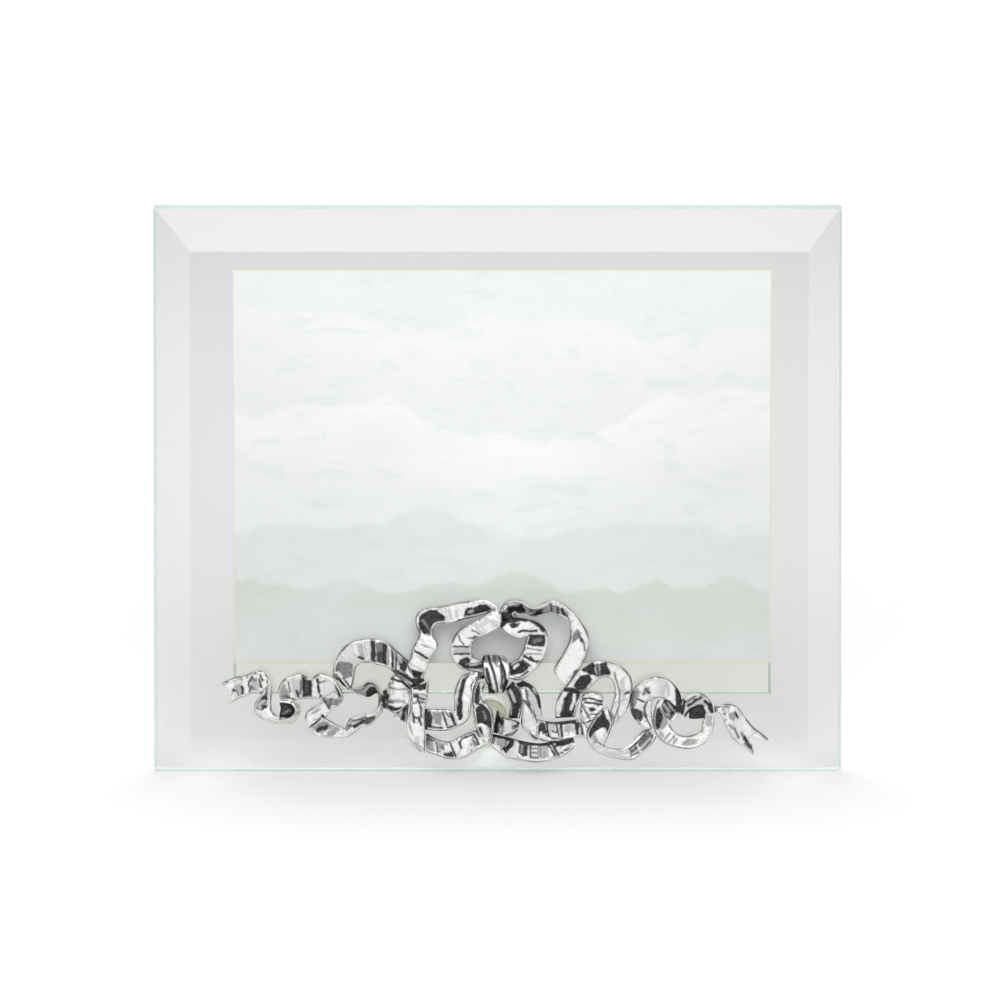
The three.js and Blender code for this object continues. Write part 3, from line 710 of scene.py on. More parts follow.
cap = turned("foot_tip", "soft_foot_cap")
cap_low, cap_high = plate_box("foot_tip")
bore = cap_high.z - cap_low.z - CAP_END
table = STAND.inverted()
edit(cap, lambda: bpy.ops.mesh.select_mode(type="FACE"))
for face in cap.data.polygons:
    face.select = face.normal.z > SQUARELY
edit(cap, lambda: bpy.ops.mesh.inset(thickness=CAP_WALL),
     lambda: bpy.ops.mesh.extrude_region_move(TRANSFORM_OT_translate={"value": (0, 0, -bore)}),
     lambda: bpy.ops.mesh.select_all(action="SELECT"),
     lambda: bpy.ops.mesh.bisect(
         plane_co=table @ Vector((0, 0, TABLE_GAP)), plane_no=table.to_3x3() @ Vector((0, 0, 1)),
         use_fill=True, clear_inner=True))
rounded = cap.modifiers.new("rounded", "BEVEL")
rounded.limit_method = "ANGLE"
rounded.angle_limit = math.radians(50)
rounded.width = 0.25 * MM
rounded.segments = 3
bpy.ops.object.modifier_apply(modifier="rounded")
paint(cap, (soft_vinyl(),), lambda face: 0)
set_up(cap, "frame", "soft_cap", "foot_tip")

# %% [markdown]
# The bow is formed ribbon: strips of silver plate about a millimetre thick, bent over formers and
# soldered where they cross. The CAD source draws each strip as rows of a left and a right edge
# point. This script repeats those rows, and a few are moved by up to about 2 mm where the photo
# shows more. They lie on a drawing at three units to the millimetre, y down, with the plate's
# middle and bottom edge at the two numbers below. The third and the last number of a row are
# heights above the glass, in millimetres. A notch is the three corners of what is cut out of a
# tail's end.

# %% The drawing of the strips
DRAWING_SCALE = 3
DRAWING_MIDDLE = 497.5
DRAWING_FOOT = 771

ROUTES = {
    "left_tail": [
        (222, 683, 2.2, 228, 702, 1.6), (236, 677, 2.6, 240, 696, 1.4),
        (244, 676, 1.6, 247, 694, 1.2), (251, 673, 2.4, 252, 691, 2), (259, 670, 3.4, 260, 691, 3),
        (266, 674, 3.4, 264, 689, 3.4), (270, 682, 2.6, 264, 691, 3.4),
        (271, 692, 1.8, 259, 697, 2.8), (270, 702, 1.2, 255, 706, 2.2),
        (271, 710, 1.2, 258, 714, 1.6), (276, 715, 2, 268, 720, 1), (283, 718, 3.2, 279, 722, 1),
        (291, 716, 4.2, 291, 722, 1.4), (295, 709, 4.6, 299, 712, 2),
        (292, 703, 4.8, 297, 703, 2.6), (285, 701, 4.8, 288, 699, 3),
        (281, 701, 4.6, 281, 698, 3.2),
    ],
    "curl_back": [
        (289, 703, 1.1, 280, 702, 1.1), (293, 706, 1.1, 281, 706, 1.1),
        (294, 711, 1.1, 281, 710, 1.1), (292, 715, 1.1, 280, 715, 1.1),
        (288, 717, 1.1, 280, 717, 1.1),
    ],
    "left_arch": [
        (278, 692, 1.6, 281, 699, 1), (283, 680, 3.4, 288, 700, 1.2),
        (291, 676, 4.2, 296, 698, 1.8), (300, 673, 3.6, 302, 697, 2),
        (307, 677, 2.6, 307, 697, 1.8), (313, 677, 2.6, 313, 697, 1.8),
        (321, 673, 3.4, 319, 697, 2.4), (331, 677, 3.8, 320, 697, 2.8),
        (340, 687, 3.6, 321, 699, 2.6), (342, 699, 2.6, 322, 701, 2.2),
        (332, 708, 1.8, 320, 704, 1.8), (325, 716, 1.2, 312, 708, 1.2),
        (317, 721, 0.9, 307, 712, 0.9), (310, 725, 0.9, 305, 718, 0.9),
    ],
    "left_hem": [
        (321, 716, 2.6, 308, 727, 2.6), (332, 722, 2.2, 319, 735, 2.2),
        (341, 727, 1.6, 333, 736, 1.6), (346, 728, 1.3, 345, 736, 1.2),
        (350, 719, 2.2, 353, 732, 1.4), (359, 716, 2.8, 359, 727, 1.4),
        (367, 714, 2.8, 368, 724, 1.4), (374, 712, 2.8, 375, 719, 1.4),
        (378, 706, 3.4, 382, 709, 1.3), (380, 698, 4, 382, 699, 1.2),
        (379, 689, 4.2, 378, 692, 1.2), (374, 682, 4.2, 374, 693, 1.2),
        (368, 682, 3.8, 368, 696, 1.1), (361, 686, 3.2, 361, 694, 1), (352, 687, 2.6, 356, 692, 1),
    ],
    "big_arch": [
        (333, 676, 1.4, 350, 690, 1), (334, 667, 2.6, 353, 677, 1.6), (338, 656, 4, 355, 666, 2.6),
        (346, 645, 5.2, 361, 661, 3.6), (356, 640, 5.8, 368, 659, 4.2),
        (366, 638, 5.8, 374, 661, 4.4), (376, 638, 5.4, 380, 663, 4.2),
        (386, 641, 4.8, 387, 665, 3.8), (394, 648, 4, 391, 668, 3.2),
        (401, 654, 3.2, 395, 672, 2.4), (408, 661, 2.2, 400, 678, 1.6),
        (416, 670, 1.3, 407, 684, 1), (424, 680, 1, 412, 690, 0.9),
    ],
    "left_panel": [
        (383, 691, 1.2, 383, 706, 1.2), (387, 688, 1.3, 387, 708, 1.3),
        (390, 681, 3, 390, 709, 2.6), (394, 675, 4.2, 394, 711, 3.4),
        (400, 678, 4.5, 400, 709, 3.9), (405, 682, 4, 404, 705, 3.6), (409, 688, 3.2, 409, 699, 3),
    ],
    "left_drop": [
        (428, 681, 2.6, 411, 687, 2.4), (427, 690, 2.6, 412, 694, 2.6),
        (426, 699, 2.6, 411, 702, 2.8), (424, 712, 2.2, 410, 712, 2.6),
        (424, 724, 2, 407, 724, 1.8), (424, 736, 1.6, 408, 735, 1.4), (424, 746, 1.2, 414, 744, 1),
        (424, 752, 0.9, 420, 750, 0.9),
    ],
    "left_fan": [
        (408, 703, 1.4, 401, 706, 1.4), (407, 711, 1.3, 399, 711, 1.3), (406, 722, 1, 394, 717, 1),
    ],
    "left_loop": [
        (411, 671, 2.8, 422, 677, 2.8), (409, 664, 3.9, 426, 669, 3.9),
        (411, 656, 4.4, 429, 659, 4.4), (414, 646, 4.4, 433, 651, 4.4),
        (420, 634, 3.8, 437, 644, 4.2), (417, 625, 2.4, 432, 633, 3.6),
        (417, 615, 1.8, 434, 624, 3.2), (424, 609, 1.8, 440, 621, 3),
        (434, 607, 2.4, 447, 621, 3.2), (447, 605, 3.2, 455, 620, 3.6),
        (460, 602, 4, 464, 617, 3.8), (473, 600, 4.6, 474, 615, 3.8),
        (484, 599, 5.2, 484, 612, 3.8), (493, 602, 6, 491, 609, 4.4),
        (500, 611, 6.6, 490, 611, 5.8), (499, 624, 6.8, 485, 614, 6.8),
        (488, 631, 6.6, 476, 620, 6.6), (478, 636, 6, 466, 625, 6), (472, 642, 5.2, 457, 632, 5.2),
        (471, 649, 4.6, 452, 644, 4.4), (472, 655, 4, 453, 655, 4), (477, 659, 3.6, 457, 663, 3.6),
        (482, 661, 3.3, 465, 668, 3.2), (487, 662, 3, 484, 669, 2.9),
    ],
    "knot": [
        (502, 657, 1, 487, 656, 1), (504, 656, 3.2, 485, 655, 3.2), (507, 659, 5.6, 483, 658, 5.6),
        (509, 668, 7.2, 484, 667, 7.2), (508, 677, 7.6, 486, 676, 7.6),
        (506, 685, 6.4, 488, 685, 6.4), (503, 690, 4, 489, 691, 4), (501, 690, 1.4, 490, 691, 1),
    ],
    "right_loop": [
        (506, 664, 3, 507, 676, 3), (513, 661, 3.6, 520, 678, 2.6), (520, 656, 4.2, 531, 671, 3.2),
        (524, 649, 4.4, 540, 661, 3.6), (526, 641, 4.4, 545, 648, 4.2),
        (528, 635, 4.4, 547, 635, 5), (525, 634, 5, 541, 624, 5.6), (518, 636, 5.6, 530, 619, 5.8),
        (509, 632, 5.6, 516, 617, 5.6), (503, 627, 5.2, 507, 619, 5.2),
        (501, 625, 4.8, 502, 622, 4.8),
    ],
    "right_streamer": [
        (501, 621, 2, 517, 618, 2.4), (500, 611, 2.4, 514, 613, 1.6),
        (505, 602, 3.4, 516, 611, 1.4), (514, 599, 4.2, 521, 612, 1.4),
        (523, 600, 4.6, 526, 612, 1.6), (529, 605, 4.4, 530, 614, 1.8),
        (535, 606, 4.2, 536, 615, 1.8), (543, 602, 4.4, 544, 614, 1.8),
        (553, 599, 4.6, 553, 613, 2), (563, 603, 4.6, 561, 615, 2.4),
        (572, 611, 4.2, 568, 619, 2.8), (581, 622, 3.8, 571, 629, 3.2),
        (588, 636, 3.4, 570, 641, 3), (586, 651, 3, 564, 653, 2.6), (580, 665, 2.2, 557, 664, 2),
        (573, 678, 1.4, 555, 670, 1.4), (566, 684, 1, 558, 676, 1),
    ],
    "left_drape": [
        (485, 677, 1.6, 484, 672, 1.6), (477, 679, 2.6, 474, 671, 2.6),
        (473, 687, 3.4, 462, 676, 3.4), (471, 698, 3.8, 456, 688, 3.8),
        (470, 708, 3.4, 455, 700, 3.6), (468, 717, 2.8, 455, 708, 3),
        (460, 724, 2.4, 452, 710, 2.6), (450, 728, 2.2, 444, 709, 2.2), (438, 729, 2, 436, 709, 2),
        (428, 728, 1.8, 428, 709, 1.8), (425, 728, 1.7, 425, 709, 1.7),
    ],
    "inner_fold": [
        (485, 682, 1.2, 478, 681, 1.2), (482, 690, 1.6, 474, 690, 1.6),
        (481, 699, 2, 473, 700, 1.8), (487, 705, 2.8, 474, 707, 2.2), (492, 713, 3.4, 475, 716, 3),
        (493, 725, 3.4, 477, 726, 3.2), (491, 735, 3, 481, 735, 3), (489, 742, 2.7, 484, 741, 2.7),
    ],
    "left_swag": [
        (426, 733, 1.8, 426, 750, 1.6), (433, 737, 2.4, 432, 752, 2.2),
        (441, 740, 2.8, 439, 754, 2.6), (450, 741, 3.2, 448, 757, 3), (459, 737, 3.2, 459, 757, 3),
        (468, 733, 2.4, 469, 753, 2.4), (477, 730, 1.3, 479, 747, 1.3), (484, 729, 1, 487, 743, 1),
    ],
    "right_swag": [
        (493, 734, 1, 491, 744, 1), (502, 736, 1.6, 498, 750, 1.6), (511, 738, 2.4, 507, 756, 2.4),
        (519, 740, 3, 519, 758, 3), (529, 742, 3.4, 531, 760, 3.4), (540, 743, 3.4, 541, 760, 3.4),
        (552, 741, 3, 552, 758, 3), (563, 738, 2.4, 563, 754, 2.4), (573, 737, 1.6, 575, 745, 1.6),
    ],
    "small_end": [
        (497, 710, 1.6, 494, 731, 1.6), (500, 714, 2.4, 499, 732, 2.4),
        (504, 717, 3.4, 505, 734, 3.6), (512, 719, 3.4, 511, 734, 3.6),
        (519, 722, 2.1, 517, 729, 2.1),
    ],
    "right_strand": [
        (512, 681, 3.2, 506, 688, 3), (519, 687, 3.4, 508, 696, 3.4),
        (522, 696, 3.2, 511, 704, 3.2), (521, 707, 2.4, 510, 711, 2.4),
        (519, 717, 1.4, 509, 717, 1.4),
    ],
    "right_band": [
        (525, 688, 3.2, 521, 687, 3.2), (527, 700, 3.2, 524, 700, 3.2),
        (532, 711, 2.8, 523, 712, 2.8), (537, 721, 1.6, 522, 724, 1.6), (540, 731, 1, 528, 732, 1),
        (544, 740, 0.9, 536, 739, 0.9),
    ],
    "right_point": [
        (522, 680, 1.8, 514, 684, 1.6), (532, 686, 1.7, 522, 692, 1.5),
        (538, 695, 1.7, 527, 700, 1.4), (540, 705, 1.5, 531, 708, 1.2), (541, 715, 1, 535, 716, 1),
    ],
    "right_garland": [
        (538, 719, 2.6, 536, 736, 2.6), (546, 721, 2.8, 544, 739, 2.8),
        (554, 722, 2.6, 554, 740, 2.6), (563, 721, 2.8, 563, 738, 2.8),
        (572, 720, 2.4, 573, 736, 2.4), (580, 720, 2, 582, 735, 2), (587, 727, 1.8, 587, 737, 1.8),
    ],
    "first_ring": [
        (556, 717, 1.6, 574, 716, 1.6), (556, 707, 2.6, 576, 707, 2.4),
        (559, 696, 3.4, 579, 699, 3), (565, 687, 3.8, 583, 692, 3.4), (571, 679, 4, 588, 687, 3.6),
        (577, 672, 4.2, 593, 682, 3.6), (584, 667, 4.4, 597, 678, 3.6),
        (592, 662, 4.6, 602, 676, 3.6), (601, 660, 4.8, 607, 675, 3.6),
        (611, 662, 4.8, 612, 677, 3.6), (622, 667, 4.4, 615, 684, 3.4),
        (630, 677, 4, 616, 692, 3.2), (631, 690, 3.4, 614, 700, 2.8),
        (628, 704, 2.8, 612, 707, 2.2), (621, 716, 2, 610, 713, 1.6), (612, 726, 1, 607, 720, 1),
    ],
    "pleat_fan": [
        (583, 693, 1.4, 580, 714, 1.4), (590, 692, 2.2, 584, 721, 2),
        (598, 693, 2.2, 594, 718, 1.8), (603, 697, 1.4, 602, 711, 1.2),
    ],
    "swoop": [
        (607, 706, 2.8, 600, 711, 3), (611, 722, 3.2, 592, 722, 3.6),
        (607, 735, 3.2, 587, 733, 3.4), (604, 744, 2.8, 592, 745, 2.6),
        (611, 748, 2.6, 604, 753, 2.2), (621, 748, 2.6, 618, 757, 2), (630, 744, 2.6, 632, 758, 2),
        (637, 737, 2.2, 644, 750, 1.8), (643, 731, 1.4, 652, 742, 1.2),
        (649, 729, 1, 656, 735, 0.9),
    ],
    "second_ring": [
        (640, 723, 3, 651, 728, 2.8), (632, 712, 3.2, 645, 717, 2.6),
        (631, 700, 3.6, 643, 707, 2.8), (634, 688, 4.2, 646, 700, 3.2),
        (643, 680, 4.8, 652, 697, 3.6), (655, 676, 5, 659, 695, 3.8),
        (667, 679, 4.8, 665, 697, 3.6), (676, 687, 4.2, 670, 700, 3.4),
        (680, 697, 3.6, 675, 705, 3.2), (680, 708, 3.2, 675, 712, 3),
        (674, 719, 2.8, 670, 719, 2.8),
    ],
    "ring_tongue": [
        (652, 700, 1.2, 647, 701, 1.2), (651, 706, 1.2, 644, 707, 1), (651, 713, 1.2, 645, 713, 1),
        (652, 720, 1.2, 647, 722, 1), (653, 727, 1, 650, 728, 1),
    ],
    "third_ring": [
        (679.5, 711, 1.6, 684.5, 716.5, 1.2), (682, 699, 3.2, 690, 708, 1.8),
        (695, 692, 4.2, 697, 704, 2.2), (705, 695, 4.2, 703, 705, 2.4),
        (711, 703, 3.8, 706, 710, 2.4), (713, 713, 3.2, 705, 717, 2.2),
        (713, 725, 2.6, 703, 724, 2), (709, 736, 2.2, 702, 730, 1.8), (702, 743, 2, 696, 734, 1.8),
        (691, 747, 2, 686, 736, 1.8), (679, 746, 2, 677, 734, 1.6), (668, 743, 1.6, 671, 728, 1.2),
        (660, 737, 1.2, 669, 723, 1), (655, 728, 1, 673, 717, 1), (654, 717, 1, 676.5, 709, 1),
        (656, 707, 1, 676, 702, 1), (659, 700, 1, 670, 697, 1),
    ],
    "ring_back": [
        (689, 711, 1, 689, 717, 1), (694, 707, 1, 694, 717.5, 1), (700, 705, 1, 701, 717, 1),
        (705, 707, 1, 707, 716, 1),
    ],
    "right_tail": [
        (715, 705, 2.6, 715, 711, 2.6), (719, 706, 2, 719, 711, 2), (724, 704, 2.4, 723, 716, 2.2),
        (730, 704, 3.2, 727, 726, 2.8), (737, 707, 3.6, 732, 735, 3),
        (743, 715, 3.2, 738, 741, 2.6), (752, 726, 2.4, 744, 745, 2),
        (760, 732, 1.8, 749, 749, 1.4), (768, 739, 1.4, 754, 754, 1),
    ],
}
NOTCHES = {
    "left_tail": ((233, 690), (213, 680), (223, 714)),
    "right_tail": ((750, 734), (783, 746), (758, 768)),
}
print(len(ROUTES), "strips from", sum(len(rows) for rows in ROUTES.values()), "rows")

# %% [markdown]
# What makes such a bow read as old silver is its patina: it stays black in the folds, where no
# cloth reaches, while every raised rim and face is rubbed bright. So each strip has a list of
# strokes.
# Besides the patina, the strokes paint shade, the greys of mirrored surroundings and highlights into
# the metal. A stroke has its darkness, its width and the points it runs through, on the same drawing.
# A narrow one is also a groove and a wide one a hollow, and a negative darkness is a rubbed ridge,
# which in places is a painted highlight. Width 0 fills the outline between the points, and a
# negative width runs over the bright rim too.

# %% The strokes of patina, wear and painted shade
STROKES = {
    "left_tail": (
        (0.8, -0.9, 223.5, 681.8, 228, 680.8), (0.85, -1.5, 233.5, 689, 230, 694, 227.3, 698.5),
        (0.92, 2.8, 233, 689, 234.2, 689.6),
        (0.42, 0, 234.5, 685, 240, 681.5, 244, 693, 238, 694.5),
        (0.9, 2.8, 240.8, 685, 242.8, 688, 242.6, 693), (0.8, 1.5, 236.6, 689, 238.2, 694.5),
        (0.85, 1.6, 252.5, 675.5, 249.6, 680, 248.8, 685), (0.88, 2, 251.6, 685, 249.6, 691),
        (0.32, 0, 252, 677, 260, 675, 262, 684, 258, 688, 252, 687),
        (0.85, 2.2, 260, 678, 261.6, 685.5), (0.85, 1.4, 260.8, 674, 263.5, 679),
        (0.62, 0, 259, 692.7, 267.5, 684.5, 267.5, 698, 266, 703, 261, 705, 255, 706),
        (0.88, 0, 261, 694, 267.5, 692.5, 267.5, 698.5, 261, 700),
        (-0.5, 1.6, 258, 704, 264, 699.5),
        (0.93, 0, 261.5, 705.5, 266.8, 702.5, 267, 707, 262, 709.8),
        (0.8, 1.4, 256, 706.5, 262, 709.5), (0.7, 1.5, 270.3, 687, 270.8, 705),
        (0.92, 1.9, 272, 706, 274.8, 712, 279.5, 715.8, 286, 717.8),
        (0.5, 1.6, 260.5, 714, 262.5, 717), (0.4, 1.4, 268, 718, 270, 720),
    ),
    "curl_back": ((-0.2, 2, 283, 713, 290, 709.5),),
    "left_arch": (
        (0.5, 0, 279, 690, 284, 681, 289, 690, 290, 699, 281, 702),
        (0.75, 1.4, 288.7, 680.5, 290.5, 690), (0.85, -1.8, 279.5, 699.5, 285, 700.3, 290.5, 699),
        (0.3, 0, 291, 679, 299.5, 677, 301, 694, 295, 695.5, 292.5, 687),
        (0.85, 3, 296.5, 690, 298.5, 695), (0.75, 1.2, 300.8, 678, 300.3, 693),
        (0.97, 0, 301.5, 675.5, 312, 675.5, 311.8, 697, 302.3, 697),
        (-0.14, 2.4, 306.5, 681, 306.5, 690), (0.85, 3, 317.8, 678, 319.8, 691),
        (0.85, 1.6, 321, 694, 318, 704), (0.18, 14, 330, 682, 330, 692),
        (0.7, 1.2, 320, 681, 327, 679.5), (0.9, 0, 334, 682, 339, 688, 344, 697, 339, 696),
        (0.6, 1.3, 333, 690, 338, 693),
        (0.6, 0, 322, 695, 331, 697, 342, 697, 333, 703, 328, 708.5, 325, 702),
        (0.85, 2.2, 323, 697, 327, 704, 330, 709), (0.85, 1.5, 342, 698, 334, 704),
        (0.8, 1.4, 331, 697, 329.5, 706), (0.85, 1.6, 308, 710.5, 321, 703),
        (0.8, 1.3, 306, 720, 306, 713.5, 309, 710), (0.3, 2, 309, 716, 312, 714),
        (0.5, 2, 312, 713, 320, 708),
    ),
    "left_hem": (
        (0.6, 0, 312, 726, 326, 719, 333, 726, 322, 733), (0.92, 5.5, 318, 729, 326, 726),
        (0.9, 1.8, 308, 727, 322, 717), (0.5, 7, 330, 733, 336, 728),
        (0.85, 1.5, 340, 722, 346, 729, 351, 722.5), (0.8, 2, 345, 722, 350, 726),
        (0.8, 1.5, 347, 728, 354, 724), (0.85, 4, 354, 725, 364, 720),
        (0.7, -1.8, 352, 720, 360, 717.5, 366, 715.5),
        (0.8, 0, 361, 722.5, 367, 715.5, 374.5, 714, 375.5, 719.5, 369, 723.5),
        (0.85, 1.4, 362, 722, 367, 717, 373, 715.5), (0.97, 0, 366.5, 689, 370, 685, 375, 684.5,
        378, 688, 378, 692, 374, 692.5, 371, 695, 366.5, 695.5),
        (0.5, 0, 356, 693, 366, 690, 366, 696, 360, 695),
        (0.85, 1.3, 353, 688, 362, 687, 368, 682), (0.8, -1.4, 381, 692, 381, 700),
    ),
    "big_arch": (
        (0.95, 2.4, 334, 676, 341, 691), (0.9, 2, 338, 677.5, 348, 689),
        (0.85, 1.6, 343, 677, 350, 686),
        (0.66, 0, 338, 661, 343, 659.5, 353, 662, 353, 676, 345, 677, 338, 669),
        (0.75, 2.5, 338, 662, 337, 669), (0.4, 0, 357, 643, 363, 642, 366, 657, 361, 659),
        (0.85, 3.5, 360, 655.5, 363, 657.5), (0.97, 4.4, 372.8, 636, 373.4, 664),
        (0.5, 0, 393, 648, 399, 650, 402, 662, 394, 666),
        (0.94, 0, 408, 677, 424, 677, 427, 689, 411, 690), (0.92, -3, 415, 671, 424, 681),
        (0.7, 0, 376, 641, 384, 640, 384, 663, 376, 663), (0.85, 6, 380, 652, 380, 663),
        (0.97, 4.4, 384.6, 638, 384.8, 664), (0.6, 1.2, 388.3, 648, 388.3, 663),
        (0.92, 2.2, 392, 645, 392.5, 667), (0.88, 2, 396.5, 650, 395.5, 669),
        (0.9, 0, 399, 657, 404, 655, 408, 661, 405, 672, 399, 668),
        (-0.5, 1.5, 400, 656, 401, 661),
        (0.92, 0, 393, 668, 402, 671, 417, 681, 413, 688, 404, 684, 395, 675),
        (0.95, 0, 405, 660, 412, 665, 420, 676, 414, 677), (-0.6, 1.3, 398, 674, 411, 683),
    ),
    "left_panel": (
        (0.95, -4.6, 384, 690, 384, 707), (0.45, 3.4, 389, 699.7, 403, 699.7),
        (0.9, -1.7, 391, 676.5, 402, 680.5, 410, 688), (0.6, 1.3, 392, 686, 398, 688, 405, 687),
        (0.92, 0, 386, 703, 397, 706, 407, 703, 406, 709, 400, 713, 389, 711),
        (0.9, -1.6, 410, 687, 409.5, 699),
    ),
    "left_drop": (
        (0.9, 0, 410, 688, 416, 681, 427, 677, 429, 684, 426, 689.5, 413, 689),
        (-0.7, 1.4, 413, 686, 421, 681),
        (0.85, 0, 411, 691.7, 429, 693.5, 428, 699.5, 418, 697.5, 411, 696.5),
        (0.7, 2, 412, 703, 419, 700, 425, 702), (-0.7, 1.4, 420, 694, 427, 697),
        (0.85, 1.4, 411.5, 700, 411.5, 712, 416, 717), (0.85, 2, 417.5, 698, 421, 707, 421, 716),
        (0.92, 2.2, 418, 716, 421, 724), (0.92, 1.8, 413, 712, 414, 721),
        (0.85, 1.5, 424.5, 708, 424, 722), (0.6, 1.3, 409, 722, 412, 733),
        (0.25, 4, 417, 738, 418, 746), (0.6, 1.4, 415, 742, 420, 750),
        (0.9, 1.5, 425.5, 722, 424.5, 752),
    ),
    "left_fan": (
        (0.97, 0, 400, 719, 404, 704, 409, 702, 409, 724), (0.85, 1.7, 395, 713.5, 405, 706.5),
        (0.5, 0, 395, 715, 401, 711, 401, 718),
    ),
    "left_loop": (
        (0.88, 2.6, 413, 648.5, 420, 652, 428, 657), (0.55, 1.8, 422, 643.5, 429, 646.5),
        (0.3, 3, 418, 654, 428, 661), (0.97, 0, 409, 664.5, 413.5, 668, 420, 670, 427, 670,
        425.5, 676, 418.5, 677, 412, 674, 408, 669), (0.97, 0, 419, 616, 424.5, 611, 431, 609,
        437, 608.5, 445, 615.5, 444.5, 622, 438.5, 622.5, 432.5, 626, 432, 633, 424.5, 631.5,
        419, 627), (-0.22, 2.5, 423, 620, 430, 629), (0.9, -2.4, 419.5, 622, 421, 628, 424.5, 632),
        (0.97, 0, 464, 617, 464, 610, 468, 606, 471.5, 605.5, 473.5, 607.5, 475, 606, 479.5, 603,
        487, 603, 491.5, 606.5, 490.5, 610, 486, 612.8, 478, 615, 469, 617),
        (-0.45, 2.2, 469.5, 610.5, 472.5, 609), (0.85, -1.3, 459, 618.6, 466, 617.3),
        (0.3, 3, 449.5, 609, 451.5, 620), (0.28, 2.4, 456.5, 609, 457, 619),
        (0.2, 4, 480, 625, 486, 620), (0.8, 0, 467.5, 636, 475.5, 633.3, 481.5, 635.3, 475.5, 638),
        (0.75, 1.4, 472.5, 628.5, 477, 630, 482.5, 634.5),
        (0.7, 1.3, 458.5, 633, 460.5, 639, 464, 642.5), (0.85, 1.8, 453, 644.8, 470, 644.8),
        (0.4, 0, 454, 646, 470, 646, 470, 651.5, 454, 651.5), (0.9, 2, 454, 652.5, 471, 652),
        (0.92, 0, 456.5, 662.5, 460, 658, 468, 655.3, 471, 658, 469.5, 661.5, 462, 664.5),
        (0.97, 0, 460, 665, 474, 661, 486, 660, 486, 668, 467, 670),
        (-0.6, 1.1, 470, 663.3, 484, 661.8), (0.95, -2.6, 468, 666.5, 476, 665.5, 485, 665),
    ),
    "knot": (
        (0.97, 4.4, 486.5, 668, 489, 679, 492, 690), (0.8, 2.4, 494, 657, 497, 664),
        (0.8, 3, 500.8, 664, 502.2, 673, 501.5, 685), (-0.6, 1.6, 497, 659, 498, 665),
        (0.97, -2.4, 483.2, 672, 482.6, 662, 484, 656.5), (0.97, -4, 505.8, 679, 503.5, 688),
        (-0.5, 2.6, 488, 657, 491.5, 665, 495, 676, 498, 688),
    ),
    "right_loop": (
        (0.95, -3.8, 500.5, 624.5, 507, 620, 519.5, 617.5, 529, 617.5, 537, 621.5, 543, 628),
        (0.9, -2.2, 500.5, 625, 507, 633, 516, 636.5),
        (0.9, 0, 508.5, 623.5, 513, 620.8, 520, 621, 517, 625.8, 511.5, 626.3),
        (0.92, 2.4, 518.5, 630.5, 522, 628.8, 530, 629.3, 536.5, 628.8),
        (0.9, 0, 528, 632.5, 545, 632.5, 544.5, 645.5, 527, 644), (-0.18, 3, 534, 640, 540, 638),
        (0.65, 1.4, 526.5, 646.5, 541, 649), (0.6, 1.3, 527, 652, 541, 652.5),
        (0.88, 3.4, 523, 654, 531, 658.5), (0.85, 1.8, 530, 655, 537, 662),
        (0.88, 2.6, 533, 659.5, 541, 660.5), (0.85, 1.5, 522, 658, 530, 664), (0.97, 0, 510, 665,
        515.7, 660.5, 522, 659.3, 528.5, 663.8, 527.5, 668.5, 521, 672, 511.5, 673.5),
        (-0.9, 1.9, 513.7, 666.2, 518, 663), (0.95, -2.4, 509.5, 663, 511, 673),
        (0.88, 1.5, 511, 677, 520, 676, 528, 670),
    ),
    "right_streamer": (
        (0.97, 0, 503, 611, 509.5, 604.5, 517, 604.5, 521.5, 602, 526, 609, 521, 612, 519, 617,
        509.5, 620, 501, 626, 499, 619), (-0.75, 3, 504.5, 606, 505.5, 610),
        (0.9, 0, 530, 615, 536, 609, 541.7, 606.5, 543, 614.5, 539.5, 616.5), (0.55, 0, 541.7, 605,
        550.5, 603, 557, 604, 562, 606.5, 568.5, 611.7, 568.5, 618, 561.7, 616, 550.5, 614,
        542.8, 615), (0.88, 2.2, 550.5, 603, 551, 609.5), (0.85, 2.2, 557.2, 606, 557.5, 613),
        (0.92, 3.4, 562, 608.5, 565.5, 616), (0.85, 2, 568.5, 617, 571.5, 630),
        (0.65, 0, 571, 634, 577.2, 627.5, 581, 632.8, 577.2, 638.5, 571, 642),
        (0.96, 0, 578, 632, 583, 637.3, 584.5, 642.5, 580, 640), (0.9, 1.4, 583, 640, 584.8, 650),
    ),
    "left_drape": (
        (0.97, 4.2, 476, 670, 469.5, 672.5, 465, 677, 463, 682, 461.5, 688, 460, 696, 460.5, 705,
        460, 717), (0.35, 2.2, 457.5, 688, 458, 696), (0.5, 2, 457, 700, 457, 708),
        (0.9, 2.4, 457, 704, 458, 714),
        (-0.9, 3.4, 476, 673, 471.5, 676.5, 469, 682, 468.3, 690, 467.8, 700, 466.5, 714),
        (0.97, 2.6, 484, 674, 478, 677.5, 475, 682), (0.8, 1.3, 451, 728.3, 463.6, 723, 470, 714),
        (0.97, 0, 423, 708, 430.5, 708, 432.5, 717, 431, 728.5, 423, 729),
        (0.95, -3, 426, 710, 426, 727), (0.6, 0, 433, 711, 442, 711, 441, 724, 434, 723),
        (0.6, 2, 436.5, 712, 438, 722), (0.88, 2.2, 442.5, 711.5, 447, 724),
        (0.75, 1.6, 446, 711, 449, 716), (0.96, 3.4, 450.5, 711.5, 455.5, 725),
        (0.92, 1.8, 432, 726, 442, 727), (0.92, 1.5, 447, 727, 453, 725),
    ),
    "inner_fold": (
        (0.97, 6, 477.5, 682, 476.5, 700),
        (0.95, 0, 475, 707, 484, 704, 492.5, 712, 492.5, 730, 486, 724, 476, 723),
        (-0.22, 2.4, 483.5, 711, 485.5, 718), (0.85, 2.4, 477, 703, 484, 705),
        (-0.95, 5, 481.5, 725, 487.5, 739), (0.88, 0, 475.5, 727, 481, 725, 484, 735, 478, 733),
        (0.85, 2, 491, 728, 489, 740),
    ),
    "left_swag": (
        (0.8, 0, 424, 731.5, 433, 735, 436, 740, 424, 741),
